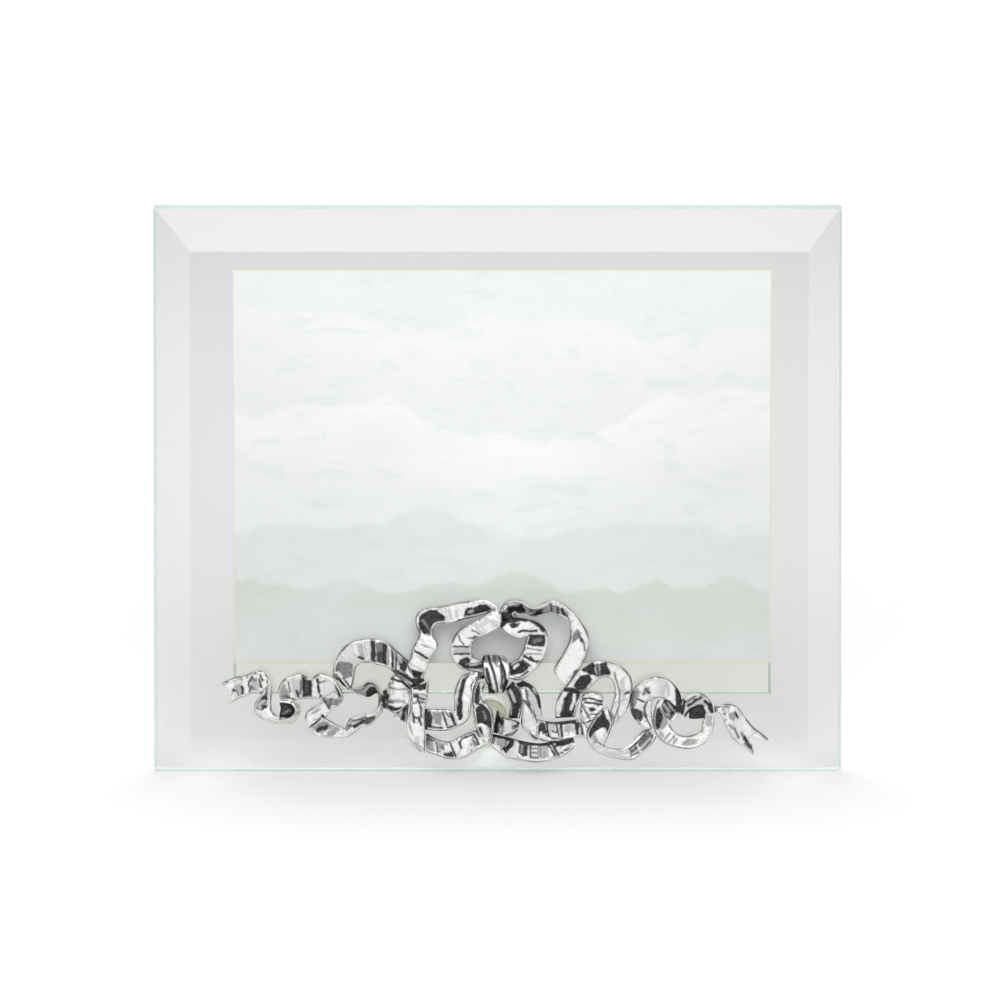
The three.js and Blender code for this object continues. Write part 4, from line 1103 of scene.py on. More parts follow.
        (0.5, 0, 425.5, 741, 434, 741, 434, 752, 426, 752), (0.8, 1.5, 436, 738, 438, 753),
        (0.55, 0, 438, 738, 449, 740, 443, 749, 439, 747), (0.94, 2, 449, 739, 456, 756),
        (0.88, 0, 443, 753, 452, 750, 454, 758, 445, 757),
        (0.92, 1.8, 461.5, 747, 459, 741.5, 462, 737.5, 473, 733.5),
        (0.96, 1.6, 474, 734, 479, 744),
        (0.9, -1.8, 426, 733.5, 433, 736.5, 440, 739.3, 450, 740.6),
    ),
    "right_swag": (
        (0.95, -4.5, 491, 734, 500, 735.5, 508, 737.5, 512.5, 740),
        (0.55, 0, 489, 742, 494, 735, 499, 737, 494, 744),
        (0.55, 0, 497, 739, 507, 738.5, 503, 747, 496, 744),
        (0.95, 0, 500, 748.5, 507, 745, 511, 735, 514.5, 739, 512, 746.5, 505.5, 751.5),
        (0.85, 0, 520, 740, 528, 740.5, 527.5, 753, 523.5, 756, 518.5, 752),
        (0.97, 2.6, 526, 742, 525.5, 754), (-0.3, 2, 521.5, 745, 521.5, 751),
        (0.92, -2.4, 519, 740.5, 533, 743, 545, 743.2, 556, 741),
        (0.85, 1.5, 530, 744, 530.5, 757), (0.75, 1.3, 531, 747.3, 537, 747.5),
        (0.75, 1.5, 531, 751.5, 537, 752), (0.8, 1.5, 531, 756, 537, 756.5),
        (0.6, 1.3, 538, 744, 538, 757), (0.42, 0, 540, 744, 547, 744, 549, 756, 541, 757),
        (0.7, 1.3, 540, 745, 540.5, 756), (0.9, 1.8, 548, 744, 555, 754),
        (0.9, 1.8, 552.5, 743.5, 559, 755), (0.5, 3, 550.5, 746, 556, 755),
        (0.97, 0, 554.5, 742, 563, 738, 575, 735.5, 577, 741.5, 573, 742, 563, 745.5, 556, 745.5),
        (0.95, -2.6, 556, 742, 565, 740, 574, 738.5), (0.88, 1.7, 560, 752, 567, 752.5, 573, 746),
        (0.85, 0, 563, 749.5, 569.5, 746, 573, 745.5, 569, 750.5),
    ),
    "small_end": (
        (0.9, 0, 500.5, 720, 504.5, 716.5, 503.5, 723, 503, 729),
        (0.25, 0, 504, 719.5, 514, 722, 512, 731, 504, 732),
        (0.85, -1.5, 500, 719.5, 504, 716.5, 512, 718.5, 518.5, 722.5),
        (0.8, -1.3, 506, 733.5, 512, 732, 515.5, 728.5),
        (0.9, 0, 513, 723.5, 519, 722, 519, 725, 514.5, 726.5),
        (0.95, 0, 492, 708, 501, 711, 501.5, 717, 499, 724, 498.5, 733, 492, 733),
        (0.95, -4, 497.5, 711.5, 496, 720, 496, 731), (-0.8, 1.1, 496.3, 715, 496.5, 718),
        (-0.8, 1.1, 496, 723, 496, 726),
    ),
    "right_strand": ((-0.6, 1.6, 510, 689, 514.5, 700), (0.95, -3.5, 507.5, 683, 513, 682.5)),
    "right_band": ((0.8, 1.2, 524.5, 699, 529, 707, 534.5, 717), (0.85, 1.5, 521, 724, 536, 738)),
    "right_point": (
        (0.97, 0, 506, 679, 516, 677, 526, 680, 532, 686.5, 520, 686.5, 508, 685),
        (0.95, -3, 514, 682.5, 519, 681, 526, 683, 531, 687),
        (0.9, -1.8, 530, 687, 537, 696, 539.6, 706), (0.6, 1.3, 524, 688, 528, 694),
    ),
    "right_garland": (
        (0.88, 0, 537, 731, 538.5, 726, 540, 719, 543, 719, 545.5, 724, 546.5, 732, 543, 733,
        541, 729.5, 539, 733), (0.4, 0, 536, 731, 539, 731, 539, 737, 535, 736),
        (0.45, 0, 578, 722, 582, 723, 582, 733, 578, 733),
        (0.9, -1.8, 546, 721.5, 556, 722.3, 563, 721.5, 575, 720),
        (0.35, 0, 546, 722.5, 559.5, 722.5, 560, 733, 547, 733),
        (0.9, 1.6, 546.5, 721, 548, 733, 551, 737), (0.85, 1.5, 546, 734, 552, 737.5, 560, 737),
        (0.8, 1.5, 552, 730, 556, 732, 557.5, 728), (0.85, 1.6, 556.5, 723.5, 558.5, 734),
        (0.96, 2, 560.5, 719, 562, 736), (0.4, 0, 563.5, 722.5, 573, 721, 574, 731, 564, 731),
        (0.95, 0, 563, 719.5, 575, 718, 576, 724, 570, 722.5, 563, 723.8),
        (0.92, 0, 575, 719, 579, 720.5, 579, 733, 577, 736, 574.5, 728),
        (0.8, 1.8, 580, 722, 583.5, 734), (-0.5, 1.4, 579.5, 727, 580, 733),
    ),
    "first_ring": (
        (0.96, 0, 563.5, 697, 570, 689, 577, 688.5, 580, 692.8, 577.8, 699, 575.5, 702, 574, 719,
        559.5, 719, 561, 708), (0.93, -3.5, 565, 688.5, 571, 687.5, 579, 691),
        (-0.12, 2.5, 563.5, 700, 562.5, 710), (-0.95, 2, 574, 693.5, 573.5, 700, 570.8, 708),
        (-0.8, 1.5, 561.5, 692, 559.5, 708), (0.9, -1.8, 557, 716.3, 565, 716.8, 574, 716),
        (0.94, 0, 573.5, 684, 579, 674.5, 588, 672.5, 592.5, 678, 583.5, 688.5, 576, 689),
        (0.92, 0, 580, 690.5, 592, 683, 595.5, 685.5, 584.5, 694.5),
        (0.9, -1.8, 584, 692, 594.5, 685),
        (0.96, 0, 583, 668, 586, 663.5, 592, 661, 594.5, 668, 596, 674, 590, 673.5),
        (0.96, -4, 583.5, 668.5, 588, 665, 592.5, 664),
        (0.55, 0, 594.5, 664, 600, 661, 601, 676, 595.5, 680),
        (0.92, 1.9, 596.5, 661.5, 598.5, 678),
        (0.94, 0, 599.5, 664, 606, 662.5, 610.5, 670, 610, 675.5, 600.5, 678, 599.4, 671),
        (0.9, -2, 600.5, 662.5, 606, 662), (0.3, 4, 622, 680, 624, 698),
        (0.8, 3.2, 624.5, 692.5, 630, 690.5),
        (0.65, 1.5, 614, 671, 619.5, 690, 619, 705, 614, 718), (0.35, 2, 611.5, 714, 614, 725),
        (0.35, 2, 618, 706, 618, 716),
    ),
    "pleat_fan": (
        (0.9, 1.8, 583, 697.3, 592, 697.8, 602, 700.5), (0.85, 2.2, 585, 702, 593, 702, 602, 704),
        (0.9, 0, 586, 706, 592, 706, 598, 710, 591, 710.5),
        (0.8, 1.7, 582, 704.5, 586.5, 712, 589.5, 718), (0.6, 1.5, 580.5, 706, 582, 714, 584, 720),
        (0.85, 1.5, 591, 713.5, 597, 713.5), (0.4, 0, 588, 713, 592, 716, 590, 720, 586, 716),
    ),
    "swoop": (
        (0.97, 0, 586.5, 728.5, 594, 720, 600, 708, 604.5, 710, 607, 718, 611.5, 725, 609.5, 734,
        604, 736, 600, 728, 594, 731, 590, 738), (-0.97, 6.5, 602, 730, 604, 735.5),
        (0.5, 0, 588.8, 731, 594, 730, 598, 740, 594, 742), (0.7, 1.4, 598, 741, 604, 745),
        (0.2, 0, 602, 746.5, 620, 748.5, 631, 746, 629, 753, 612, 754),
        (0.78, 0, 629.5, 750.5, 639, 741, 649, 730, 653.5, 735, 650.5, 744.5, 640, 751.5, 631, 756),
        (-0.8, 1.4, 636.5, 743, 640.5, 751), (-0.6, 1.2, 632, 753, 641, 747, 650, 738),
        (0.94, 1.5, 629, 748, 640, 738.5, 648, 729.5),
    ),
    "second_ring": (
        (0.6, 0, 630, 688, 635.5, 684, 640, 690, 637, 698, 634.5, 706, 630, 700),
        (0.6, 0, 641, 692, 645, 685.5, 650, 685, 648.5, 690, 643, 694.5),
        (0.88, 3.2, 645.5, 688, 648.5, 691), (0.75, -2.4, 633.5, 690, 632, 700, 632.5, 706),
        (0.85, -2.2, 632, 708, 634.5, 716, 637, 722),
        (0.88, 1.5, 637.5, 697.5, 645, 701, 650, 696.5, 660, 695), (0.3, 3, 667, 684, 668, 693),
        (0.85, 0, 630, 705.5, 644.5, 710.5, 641.5, 719.5, 636, 724.5, 632.8, 717.5),
        (0.95, -5, 677, 688.5, 678.5, 698, 678, 709), (0.85, 1.6, 639, 722.5, 647.5, 728.8),
    ),
    "third_ring": (
        (0.9, -3, 684, 699.5, 682.5, 706, 682, 712), (0.85, 3.4, 688, 704.5, 695, 699, 702, 694.8),
        (0.7, 1.8, 686, 700.5, 695, 694), (0.93, -3, 705.5, 699.5, 709.8, 703.5, 711.5, 710),
        (0.97, -4.2, 686.5, 714, 689, 710.5, 692.5, 707.5),
        (0.4, 0, 706.5, 714, 712, 714, 712, 725, 706, 726),
        (0.85, -1.2, 692, 706.2, 699, 703.2, 704, 704.4), (0.65, 1.5, 663, 741, 670, 733),
        (0.65, 1.5, 667, 744, 674, 735.5), (0.65, 1.5, 671, 745.5, 677, 738),
        (0.5, 0, 682, 741.5, 688, 738.5, 698, 738.5, 694, 744, 684, 745),
        (0.65, 2, 683, 744, 688, 740), (0.5, 0, 657, 729, 662, 731, 665, 738, 661, 738),
        (0.97, 0, 653, 722, 654.5, 711, 659.5, 706, 663.5, 714, 662, 722, 660, 728, 655, 729),
        (0.55, 0, 660, 718, 667, 716, 668, 724, 662, 730, 657, 729),
        (0.9, 0, 661, 705, 664, 698.5, 670.5, 697.5, 677, 703, 677, 712, 671, 720.5, 665, 715),
        (-0.5, 1.5, 664, 704, 669, 711), (-0.45, 1.3, 668, 702, 673.5, 709.5),
        (-0.5, 2, 667, 713.5, 672, 716.5),
    ),
    "right_tail": (
        (0.85, 1.8, 717.5, 706.3, 728, 705.3),
        (0.55, 0, 728.5, 712, 735, 709.5, 737, 713, 734, 719, 729.5, 718),
        (0.93, 2.6, 735, 712, 737.3, 716.3), (0.6, 2.4, 729, 723.5, 732, 727),
        (0.7, 2, 734, 727, 738, 736), (0.85, 3.6, 744, 736, 747, 742, 750.5, 748),
        (0.6, 3, 741.5, 732, 746, 740), (0.8, 1.5, 751, 744, 753, 751),
    ),
}
# How dark a strip is all over, where it lies deep inside the bow: its patina there, together with
# painted shade for the bow's dark depths
GROUND = {"curl_back": 0.97, "ring_back": 0.93, "right_strand": 0.95, "inner_fold": 0.35,
          "right_point": 0.3, "ring_tongue": 0.12}
print(sum(len(strokes) for strokes in STROKES.values()), "strokes")

# %% [markdown]
# A strip's points are laid between two smooth curves, one through its left edge points and one
# through its right ones. Hand work is never quite even, so a few crossed waves with a fixed seed
# move edges and heights a little. They are the same in every run.

# %% Curves and waves
CURVE_TENSION = 0.5
WAVES = 6
WAVE_STRETCH = (0.7, 1.6)
# Stand in for nothing and for far away where a sum can't have 0 or needs a start
TINY = 1e-9
FAR = 1e9


def to_plate(points):
    """Points of the drawing, as x, y and height, in millimetres in the plate's frame."""
    points = np.asarray(points, float)
    return np.stack([(points[:, 0] - DRAWING_MIDDLE) / DRAWING_SCALE,
                     (DRAWING_FOOT - points[:, 1]) / DRAWING_SCALE,
                     PLATE_THICKNESS / MM + points[:, 2]], axis=1)


def curve_through(points, at):
    """The Catmull-Rom curve through the points, as in the CAD, at shares of its run of 0 to 1."""
    ends = np.vstack([2 * points[0] - points[1], points, 2 * points[-1] - points[-2]])
    place = np.clip(at, 0, 1) * (len(points) - 1)
    first = np.minimum(place.astype(int), len(points) - 2)
    t = (place - first)[:, None]
    before, here, there, after = (ends[first + k] for k in range(4))
    leave, arrive = CURVE_TENSION * (there - before), CURVE_TENSION * (after - here)
    return (here + leave * t + (3 * (there - here) - 2 * leave - arrive) * t ** 2
            + (2 * (here - there) + leave + arrive) * t ** 3)


def soft_step(low, high, value):
    """0 below low, 1 above high, and smooth between them."""
    t = np.clip((value - low) / (high - low), 0, 1)
    return t * t * (3 - 2 * t)


def wander(x, y, size, seed):
    """A gentle seeded noise of about -1 to 1, from a few crossed waves of that size."""
    turn = np.random.default_rng(seed)
    total = np.zeros_like(x)
    for _ in range(WAVES):
        heading = turn.uniform(0, 2 * math.pi)
        start = turn.uniform(0, 2 * math.pi)
        length = size * turn.uniform(*WAVE_STRETCH)
        onward = x * math.cos(heading) + y * math.sin(heading)
        total += np.sin(2 * math.pi * onward / length + start)
    return total / (WAVES / 2)


# %% [markdown]
# Each stroke is laid on the points of its strip by their distance from it. Its border is soft and
# wanders, as a rubbing cloth leaves it. The same cover that darkens the metal also presses it in,
# or raises a ridge, so the dark lines catch the light as real folds do.

# %% What the strokes do to the metal
# On the drawing: how soft a border is, how far it wanders and spreads, and the size of its waves
STROKE_EDGE = 1.2
STROKE_WANDER = 0.5
STROKE_SPREAD = 0.35
STROKE_WAVES = 7
# From this width on, a stroke's border is full and it presses a hollow instead of a groove. An
# outline counts as one. A thin stroke's border starts from this share of a full one's.
BOLD_WIDTH = 4
THIN_BORDER = 0.4
# In mm: how high a ridge is, how deep a groove is for each unit of its width, how deep a hollow is,
# and how far down and up all of them together may go
RIDGE_HEIGHT = 0.14
GROOVE_DEPTH = 0.10
HOLLOW_DEPTH = 0.22
RELIEF_REACH = (-0.4, 0.25)


def stroke_cover(x, y, width, corners, seed):
    """How far a stroke covers each point, from 0 to 1."""
    ends = corners[1:] + corners[:1] if width == 0 else corners[1:]
    gap = np.full_like(x, FAR)
    inside = np.zeros_like(x, bool)
    for (x0, y0), (x1, y1) in zip(corners, ends):
        dx, dy = x1 - x0, y1 - y0
        t = np.clip(((x - x0) * dx + (y - y0) * dy) / max(dx * dx + dy * dy, TINY), 0, 1)
        gap = np.minimum(gap, np.hypot(x - x0 - t * dx, y - y0 - t * dy))
        if width == 0 and dy:
            inside ^= ((y0 > y) != (y1 > y)) & (x < x0 + (y - y0) * dx / dy)
    gap = np.where(inside, -gap, gap)
    bold = BOLD_WIDTH if width == 0 else abs(width)
    shift = STROKE_WANDER * min(1, bold / BOLD_WIDTH)
    gap = gap - STROKE_SPREAD + shift * wander(x, y, STROKE_WAVES, seed)
    edge = STROKE_EDGE * min(1, THIN_BORDER + bold / (2 * BOLD_WIDTH))
    return 1 - soft_step(abs(width) / 2 - edge, abs(width) / 2 + edge, gap)


def strokes_on(name, x, y):
    """Patina and painted shade inside the rims and over them, from 0 to 1, and relief in millimetres.
    """
    patina_and_shade = np.full_like(x, GROUND.get(name, 0.0))
    over = np.zeros_like(x)
    relief = np.zeros_like(x)
    for number, (dark, width, *run) in enumerate(STROKES.get(name, ())):
        cover = stroke_cover(x, y, width, list(zip(run[0::2], run[1::2])), number)
        if dark < 0:
            patina_and_shade *= 1 + dark * cover
            relief += RIDGE_HEIGHT * cover
        elif width < 0:
            over = np.maximum(over, dark * cover)
        else:
            patina_and_shade = np.maximum(patina_and_shade, dark * cover)
            depth = GROOVE_DEPTH * width if 0 < width < BOLD_WIDTH else HOLLOW_DEPTH
            relief -= depth * dark * cover
    return patina_and_shade, over, np.clip(relief, *RELIEF_REACH)


# %% [markdown]
# A ribbon that is bent round a curve creases across its length. The pleats are drawn by chance, but
# the seed comes from the strip's name, so each strip keeps its own. A crease is a thin dark line of
# patina and painted shade, and of the faces between two creases a few are painted grey, a painted
# reflection of something darker.

# %% Pleats across a strip
# The mean size of the pleats in mm, their height in mm and their slant. Others get the usual ones.
USUAL_PLEATS = (3.2, 0.11, 0.2)
PLEATS = {
    "left_swag": (3.0, 0.24, 0.35), "right_swag": (2.4, 0.24, 0.25),
    "right_garland": (2.6, 0.22, 0.1), "left_drape": (3.0, 0.2, 0.2),
    "left_hem": (3.0, 0.2, 0.5), "left_arch": (3.0, 0.2, 0.15), "big_arch": (3.2, 0.18, 0.2),
    "left_tail": (3.0, 0.18, 0.3), "right_streamer": (9.0, 0.1, 0.4), "knot": (9.0, 0.02, 0.0),
    "left_fan": (6.0, 0.05, 0.3), "small_end": (5.0, 0.08, 0.6), "right_tail": (3.4, 0.14, 0.4),
    "right_band": (9.0, 0.06, 0.3), "right_loop": (3.2, 0.09, 0.2), "pleat_fan": (3.0, 0.3, 0.9),
    "left_panel": (9.0, 0.05, 0.2), "left_drop": (6.0, 0.12, 0.3),
}
# As shares of the mean size: how far apart creases are, and how far before the strip they start
PLEAT_SPACING = (0.6, 1.45)
PLEATS_AHEAD = 2.5
# There are more pleats than the strip's length needs, by this factor and number
PLEATS_SPARE = (1.6, 8)
PLEAT_HEIGHTS = (0.35, 1)
# How far a crease wanders, and the size of its waves, in mm
CREASE_WANDER = 0.25
CREASE_WAVES = 3.5
CREASE_WIDTH = 0.26
# How dark the line in a crease is, less on a ridge, and at most, where the pleats are high
CREASE_LINES = (0.15, 0.95)
RIDGE_LINE = 0.35
LINE_MOST = 0.6
LINE_PER_HEIGHT = 4
# The painted greys, reflections of something darker, that a face between two creases may have, most
# of them bright. Pleats lower than this have none, and a grey face starts from this share of its grey
# at one of its creases.
FACE_GREYS = (0, 0, 0, 0.05, 0.12, 0.45, 0.75)
GREY_STRENGTH = 0.4
GREY_ABOVE = 0.1
GREY_START = 0.35


def pleats_on(name, down, aside):
    """Pleats across a strip: their height, the dark line in each crease, and each face's painted
    grey.
    """
    size, depth, slant = PLEATS.get(name, USUAL_PLEATS)
    chance = np.random.default_rng(sum(map(ord, name)))
    count = int(down.max() / size * PLEATS_SPARE[0]) + PLEATS_SPARE[1]
    creases = np.cumsum(chance.uniform(*PLEAT_SPACING, count)) * size - PLEATS_AHEAD * size
    heights = depth * chance.uniform(*PLEAT_HEIGHTS, count) * (-1) ** np.arange(count)
    lines = chance.uniform(*CREASE_LINES, count) * np.where(heights < 0, 1, RIDGE_LINE)
    greys = chance.choice(FACE_GREYS, count)
    rising = chance.uniform(0, 1, count) < 0.5
    at = down + slant * aside + CREASE_WANDER * wander(down, aside, CREASE_WAVES, count)
    face = np.clip(np.searchsorted(creases, at) - 1, 0, count - 2)
    t = np.clip((at - creases[face]) / (creases[face + 1] - creases[face]), 0, 1)
    height = heights[face] * (1 - t) + heights[face + 1] * t
    nearest = np.where(t < 0.5, face, face + 1)
    line = lines[nearest] * np.exp(-((at - creases[nearest]) / CREASE_WIDTH) ** 2)
    fade = GREY_START + (1 - GREY_START) * np.where(rising[face], t, 1 - t)
    grey = GREY_STRENGTH * greys[face] * (depth > GREY_ABOVE) * fade
    return height, min(LINE_MOST, LINE_PER_HEIGHT * depth) * line, grey


# %% [markdown]
# Across the strip the points get its section: a slight crown, and along each edge a rolled bead,
# as the photo's white rims show, with a thin dark line beside it, painted shade that stands for a
# fine groove. The very edge gets a dark outline, a painted shadow where the strip meets the glass.
# The knot's folds lie side by side along the strip. The section gives a height out of the strip and
# a darkness for each point.

# %% The section of a strip
# All in mm, measured from the strip's edge where they are places
CROWN = 0.14
BEAD_HEIGHT = 0.12
BEAD_PLACE = 0.33
BEAD_SPREAD = 0.12
ROLL = 0.32
ROLL_DROP = 0.2
RIM_REACH = (0.28, 0.46)
# A strip's bead, groove and outline come in with its width. Back walls inside a curl have none.
BEAD_FROM = (1.2, 3.0)
PLAIN = ("curl_back", "ring_back", "ring_tongue")
# The thin dark line inside the bead, painted shade for a groove, and the one along the strip's very
# edge, a painted shadow where the strip meets the glass
LINE_PLACE = 0.56
LINE_SPREAD = 0.11
LINE_DARK = 0.6
OUTLINE_REACH = (0.1, 0.24)
OUTLINE_DARK = 0.6
# The sizes of the waves in the crinkled face, the line and the outline, on the drawing
CRINKLE = 0.05
CRINKLE_WAVES = 6
LINE_WAVES = 11
OUTLINE_WAVES = 26
# How much of a pleat reaches the rim, how deep its crease is, and how bright a rim is rubbed
PLEAT_AT_RIM = 0.4
CREASE_DEPTH = 0.1
RUBBED = 0.85
# Folds that lie side by side along a strip: their count, slant, height and shift
FOLDS = {"knot": (2.2, 0.55, 0.55, -0.16)}
FOLD_MIDDLE = 0.7
FOLD_DARK = 0.97
FOLD_REACH = (0.2, 0.72)


def section(name, x, y, across, wide, down):
    """Each point's height out of the strip, in millimetres, and its patina and painted shade."""
    from_edge = np.minimum(across, 1 - across) * wide
    patina_and_shade, over, relief = strokes_on(name, x, y)
    rim = 1 - soft_step(*RIM_REACH, from_edge)
    beaded = soft_step(*BEAD_FROM, wide) * (name not in PLAIN)
    lift = CROWN * 4 * across * (1 - across) + relief * (1 - rim)
    lift += beaded * BEAD_HEIGHT * np.exp(-((from_edge - BEAD_PLACE) / BEAD_SPREAD) ** 2)
    lift -= ROLL_DROP * (1 - soft_step(0, ROLL, from_edge))
    lift += CRINKLE * wander(x, y, CRINKLE_WAVES, seed=len(name)) * (1 - rim)
    pleat, creased, greyed = pleats_on(name, down, (across - 0.5) * wide)
    lift += pleat * (PLEAT_AT_RIM + (1 - PLEAT_AT_RIM) * (1 - rim))
    lift -= CREASE_DEPTH * creased * (1 - rim)
    # Painted shade: a thin dark line inside the bead, in place of a groove
    line = LINE_DARK * np.exp(-((from_edge - LINE_PLACE) / LINE_SPREAD) ** 2)
    line = line * (0.6 + 0.4 * wander(x, y, LINE_WAVES, seed=3)) * beaded
    patina_and_shade = np.maximum.reduce([patina_and_shade, line, creased, greyed]) * (1 - RUBBED * rim * beaded)
    if name in FOLDS:
        count, slant, height, shift = FOLDS[name]
        tilt = slant * (down / down.max() - 0.5)
        fold = np.abs(np.sin(math.pi * count * (across + tilt + shift)))
        lift += height * (np.sqrt(fold) - FOLD_MIDDLE)
        patina_and_shade = np.maximum(patina_and_shade, FOLD_DARK * (1 - soft_step(*FOLD_REACH, fold)))
    # Painted shadow: a dark outline along the strip's very edge, where it meets the glass
    outline = OUTLINE_DARK + 0.45 * wander(x, y, OUTLINE_WAVES, seed=5)
    outline = outline * (1 - soft_step(*OUTLINE_REACH, from_edge)) * beaded
    return lift, np.maximum.reduce([patina_and_shade, over, outline])


# %% [markdown]
# A strip starts as a flat grid, one unit wide and long. Its columns stand a little closer at the
# edges, where the beads are. Each point is laid between the two edge curves and then pushed out by
# its section. The UV map is the strip unrolled, in millimetres, for the streaks along it.

# %% Laying a strip
CELL = 0.26
LEAST_COLUMNS = 12
LEAST_ROWS = 8
EDGE_CROWDING = 0.4
RUN_STEPS = 500
TRAVEL_STEP = 0.004
PLATE_GAUGE = 0.9


def strip_grid(name, width, length):
    """A flat grid for a strip: its object, and each point's share of the width and the length."""
    bpy.ops.object.select_all(action="DESELECT")
    bpy.ops.mesh.primitive_grid_add(x_subdivisions=max(LEAST_COLUMNS, round(width / CELL)),
                                    y_subdivisions=max(LEAST_ROWS, round(length / CELL)), size=1)
    sheet = bpy.context.object
    sheet.name = f"silver_{name}"
    flat = np.zeros(len(sheet.data.vertices) * 3, np.float32)
    sheet.data.vertices.foreach_get("co", flat)
    across, along = (flat.reshape(-1, 3).astype(float) + 0.5)[:, :2].T
    crowded = 0.5 - 0.5 * np.cos(math.pi * across)
    return sheet, (1 - EDGE_CROWDING) * across + EDGE_CROWDING * crowded, along


def lay_strip(name):
    """A strip as an open sheet along its route: its object, and its points, fronts, patina and
    painted shade.
    """
    rows = np.array(ROUTES[name], float)
    left, right = to_plate(rows[:, :3]), to_plate(rows[:, 3:])
    run = np.linspace(0, 1, RUN_STEPS)
    left_run, right_run = curve_through(left, run), curve_through(right, run)
    steps = np.linalg.norm(np.diff((left_run + right_run) / 2, axis=0), axis=1)
    length = np.concatenate([[0], np.cumsum(steps)])
    width = np.linalg.norm(left_run - right_run, axis=1).mean()
    sheet, across, share = strip_grid(name, width, length[-1])
    down = share * length[-1]
    along = np.interp(down, length, run)
    edge_left, edge_right = curve_through(left, along), curve_through(right, along)
    ahead, behind = np.clip(along + TRAVEL_STEP, 0, 1), np.clip(along - TRAVEL_STEP, 0, 1)
    travel = (curve_through(left, ahead) + curve_through(right, ahead)
              - curve_through(left, behind) - curve_through(right, behind))
    front = np.cross(edge_right - edge_left, travel)
    front /= np.maximum(np.linalg.norm(front, axis=1), TINY)[:, None]
    points = edge_left + across[:, None] * (edge_right - edge_left)
    wide = np.linalg.norm(edge_right - edge_left, axis=1)
    x = points[:, 0] * DRAWING_SCALE + DRAWING_MIDDLE
    y = DRAWING_FOOT - points[:, 1] * DRAWING_SCALE
    lift, patina_and_shade = section(name, x, y, across, wide, down)
    points += lift[:, None] * front
    # A strip that would come out of the CAD box in front is set back into it
    foremost = foot_edge.y / MM + points[:, 1] * math.sin(LEAN) - points[:, 2] * math.cos(LEAN)
    too_far = max(0, cad_low.y / MM - foremost.min() + PLATE_GAUGE / 2)
    points[:, 2] -= too_far / math.cos(LEAN)
    unrolled = sheet.data.uv_layers.active.data
    for corner in sheet.data.loops:
        at = corner.vertex_index
        unrolled[corner.index].uv = across[at] * wide[at], down[at]
    sheet.data.vertices.foreach_set("co", (points * MM).astype(np.float32).ravel())
    sheet.data.update()
    return sheet, points, front, patina_and_shade


# %% [markdown]
# Solidify turns the sheet into plate, and a small bevel takes the edge off its rims. A swallowtail
# is cut with a Boolean and a wedge. Then each point of the plate takes the patina and painted shade
# of the sheet's nearest point where it looks forward. Its edges get a painted shade that draws a dark
# outline, and its back, which no cloth reaches, gets its own patina.

# %% From sheet to plate
RIM_ROUNDING = 0.16 * MM
WEDGE_FOOT = -2 * MM
WEDGE_TOP = 24 * MM
# How far a face looks along the strip's front: above the first it is front, below the second back
FRONT_ABOVE = 0.45
BACK_BELOW = -0.6
# Painted shade on a strip's edge faces, which draws its dark outline, and the patina of its back
EDGE_PAINTED_SHADE = 0.5
BACK_TARNISH = 0.45


def cut_notch(sheet, notch):
    """Cuts the swallowtail out of a strip's end with a wedge that has the notch's three corners."""
    corners = to_plate([(x, y, 0) for x, y in notch]) * MM
    bpy.ops.object.select_all(action="DESELECT")
    bpy.ops.mesh.primitive_cylinder_add(vertices=3, radius=1 * MM, depth=WEDGE_TOP,
                                        end_fill_type="TRIFAN")
    wedge = bpy.context.object
    centres = [v for v in wedge.data.vertices if v.co.xy.length < 0.5 * MM]
    low = [v for v in wedge.data.vertices if v.co.z < 0 and v not in centres]
    for start, corner in zip(low, corners):
        above = min((v for v in wedge.data.vertices if v.co.z > 0),
                    key=lambda v: (v.co.xy - start.co.xy).length)
        above.co = (corner[0], corner[1], WEDGE_TOP)
        start.co = (corner[0], corner[1], WEDGE_FOOT)
    for vertex in centres:
        height = WEDGE_TOP if vertex.co.z > 0 else WEDGE_FOOT
        vertex.co = (corners[:, 0].mean(), corners[:, 1].mean(), height)
    edit(wedge, lambda: bpy.ops.mesh.select_all(action="SELECT"),
         lambda: bpy.ops.mesh.normals_make_consistent(inside=False))
    swallow = sheet.modifiers.new("swallowtail", "BOOLEAN")
    swallow.operation = "DIFFERENCE"
    swallow.object = wedge
    swallow.solver = "EXACT"
    only(sheet)
    bpy.ops.object.modifier_apply(modifier="swallowtail")
    bpy.data.objects.remove(wedge)


def finish_strip(sheet, points, front, patina_and_shade, notch=None):
    """Gives the sheet its gauge and rounded rims, and stores the patina and painted shade of each
    point.
    """
    plate = sheet.modifiers.new("plate", "SOLIDIFY")
    plate.thickness = PLATE_GAUGE * MM
    plate.offset = 0
    rims = sheet.modifiers.new("rims", "BEVEL")
    rims.limit_method = "ANGLE"
    rims.angle_limit = math.radians(55)
    rims.width = RIM_ROUNDING
    rims.segments = 2
    only(sheet)
    for modifier in ("plate", "rims"):
        bpy.ops.object.modifier_apply(modifier=modifier)
    if notch:
        cut_notch(sheet, notch)
    tree = KDTree(len(points))
    for number, point in enumerate(points):
        tree.insert(point * MM, number)
    tree.balance()
    shades = np.full(len(sheet.data.vertices), EDGE_PAINTED_SHADE, np.float32)
    for number, vertex in enumerate(sheet.data.vertices):
        near = tree.find(vertex.co)[1]
        facing = float(vertex.normal @ Vector(front[near]))
        if facing > FRONT_ABOVE:
            shades[number] = patina_and_shade[near]
        elif facing <= BACK_BELOW:
            shades[number] = max(BACK_TARNISH, patina_and_shade[near])
    sheet.data.attributes.new("patina_and_shade", "FLOAT", "POINT").data.foreach_set("value", shades)
    sheet.data.materials.append(silver)
    set_up(sheet, "frame", "aged_silver", sheet.name.removeprefix("silver_"))


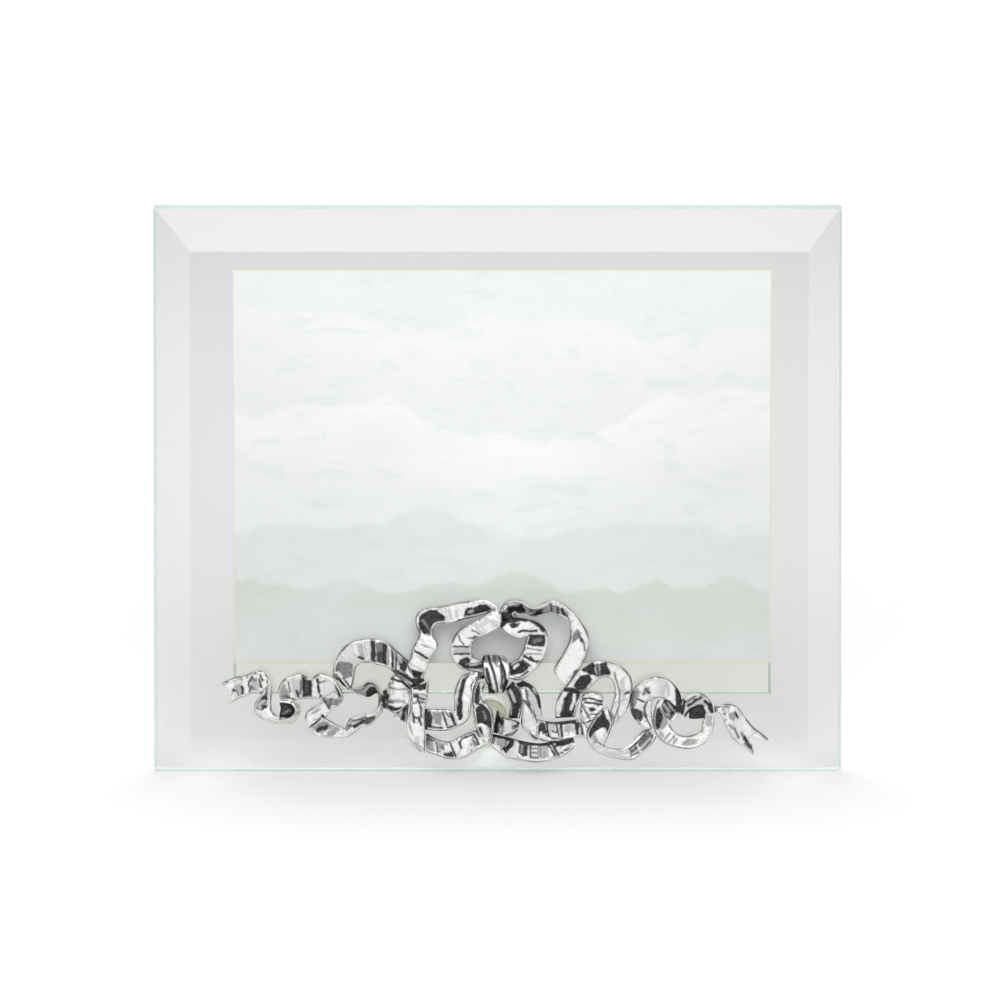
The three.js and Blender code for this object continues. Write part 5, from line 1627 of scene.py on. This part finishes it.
# %% [markdown]
# Silver plate is polished, then left to blacken, then rubbed. The darkness of each point comes from
# the strokes, patina together with painted shade, shadows and reflections, a noise frays its border
# as rubbing does, and the metal goes from mirror-like and nearly white to dull black. Fine polishing
# dents keep its reflections from being perfect.

# %% Silver plate
BRIGHT = "#F9F8F6"
# The black of the patina, which also colours the painted shade, and its worn grey
BLACK_PATINA_AND_SHADE = "#18191A"
WORN_PATINA_AND_SHADE = "#5C5E5F"
FRAY = 0.6 * MM
DENTS = 1.6 * MM
# In mm on the unrolled strip: fine streaks across it, which rubbing along the creases leaves
STREAK_ACROSS = 1.6
STREAK_ALONG = 0.4
# How much the two noises add to the patina and painted shade, and the sums that are bright and black
FRAY_STRENGTH = 0.4
PATINA_AND_SHADE_REACH = (0.37, 1.28)
STREAK_REACH = (0.35, 0.7)
ROUGHNESS = (0.2, 0.42)


def silver_plate():
    """Silver plate with patina and painted shade: bright and glossy where it is rubbed, black and
    satin in folds and in the painted shade.
    """
    material, tree, place = new_material("rubbed_silver_plate")
    laid = add_node(tree, "Attribute", attribute_name="patina_and_shade").outputs["Fac"]
    fray = add_node(tree, "TexNoise", {"Vector": place, "Scale": 1 / FRAY, "Detail": 4.0,
                                       "Roughness": 0.6})
    stretched = add_node(tree, "Mapping", {"Vector": add_node(tree, "TexCoord").outputs["UV"],
                                           "Scale": (1 / STREAK_ACROSS, 1 / STREAK_ALONG, 1)})
    streaks = add_node(tree, "TexNoise", {"Vector": stretched, "Scale": 1.0, "Detail": 3.0,
                                          "Roughness": 0.6})
    both = add_node(tree, "Math", {0: fray, 1: streaks}, operation="ADD")
    frayed = add_node(tree, "Math", {0: both, 1: FRAY_STRENGTH, 2: laid},
                      operation="MULTIPLY_ADD")
    shown = add_node(tree, "MapRange", {0: frayed, 1: PATINA_AND_SHADE_REACH[0], 2: PATINA_AND_SHADE_REACH[1]})
    worn = add_node(tree, "MapRange", {0: streaks, 1: STREAK_REACH[0], 2: STREAK_REACH[1]})
    black = add_node(tree, "Mix", {0: worn, 6: linear(BLACK_PATINA_AND_SHADE), 7: linear(WORN_PATINA_AND_SHADE)},
                     data_type="RGBA")
    colour = add_node(tree, "Mix", {0: shown, 6: linear(BRIGHT), 7: black}, data_type="RGBA")
    gloss = add_node(tree, "MapRange", {0: shown, 3: ROUGHNESS[0], 4: ROUGHNESS[1]})
    bump = grain(tree, place, size=DENTS, strength=0.35, depth=0.25 * MM)[1]
    return finished(material, add_node(tree, "BsdfPrincipled", {
        "Base Color": colour, "Metallic": 1, "Roughness": gloss, "Normal": bump}))


silver = silver_plate()

# %% Lay every strip
for name in ROUTES:
    finish_strip(*lay_strip(name), notch=NOTCHES.get(name))

# %% [markdown]
# How far the visual model reaches past the CAD model's box on each side is printed. The
# visual model has to stay inside the CAD model's box.

# %% Sizes
low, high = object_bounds()
over = [round(1000 * v, 2) for v in (*(cad_low - low), *(high - cad_high))]
print("over the CAD box by", over, "mm")
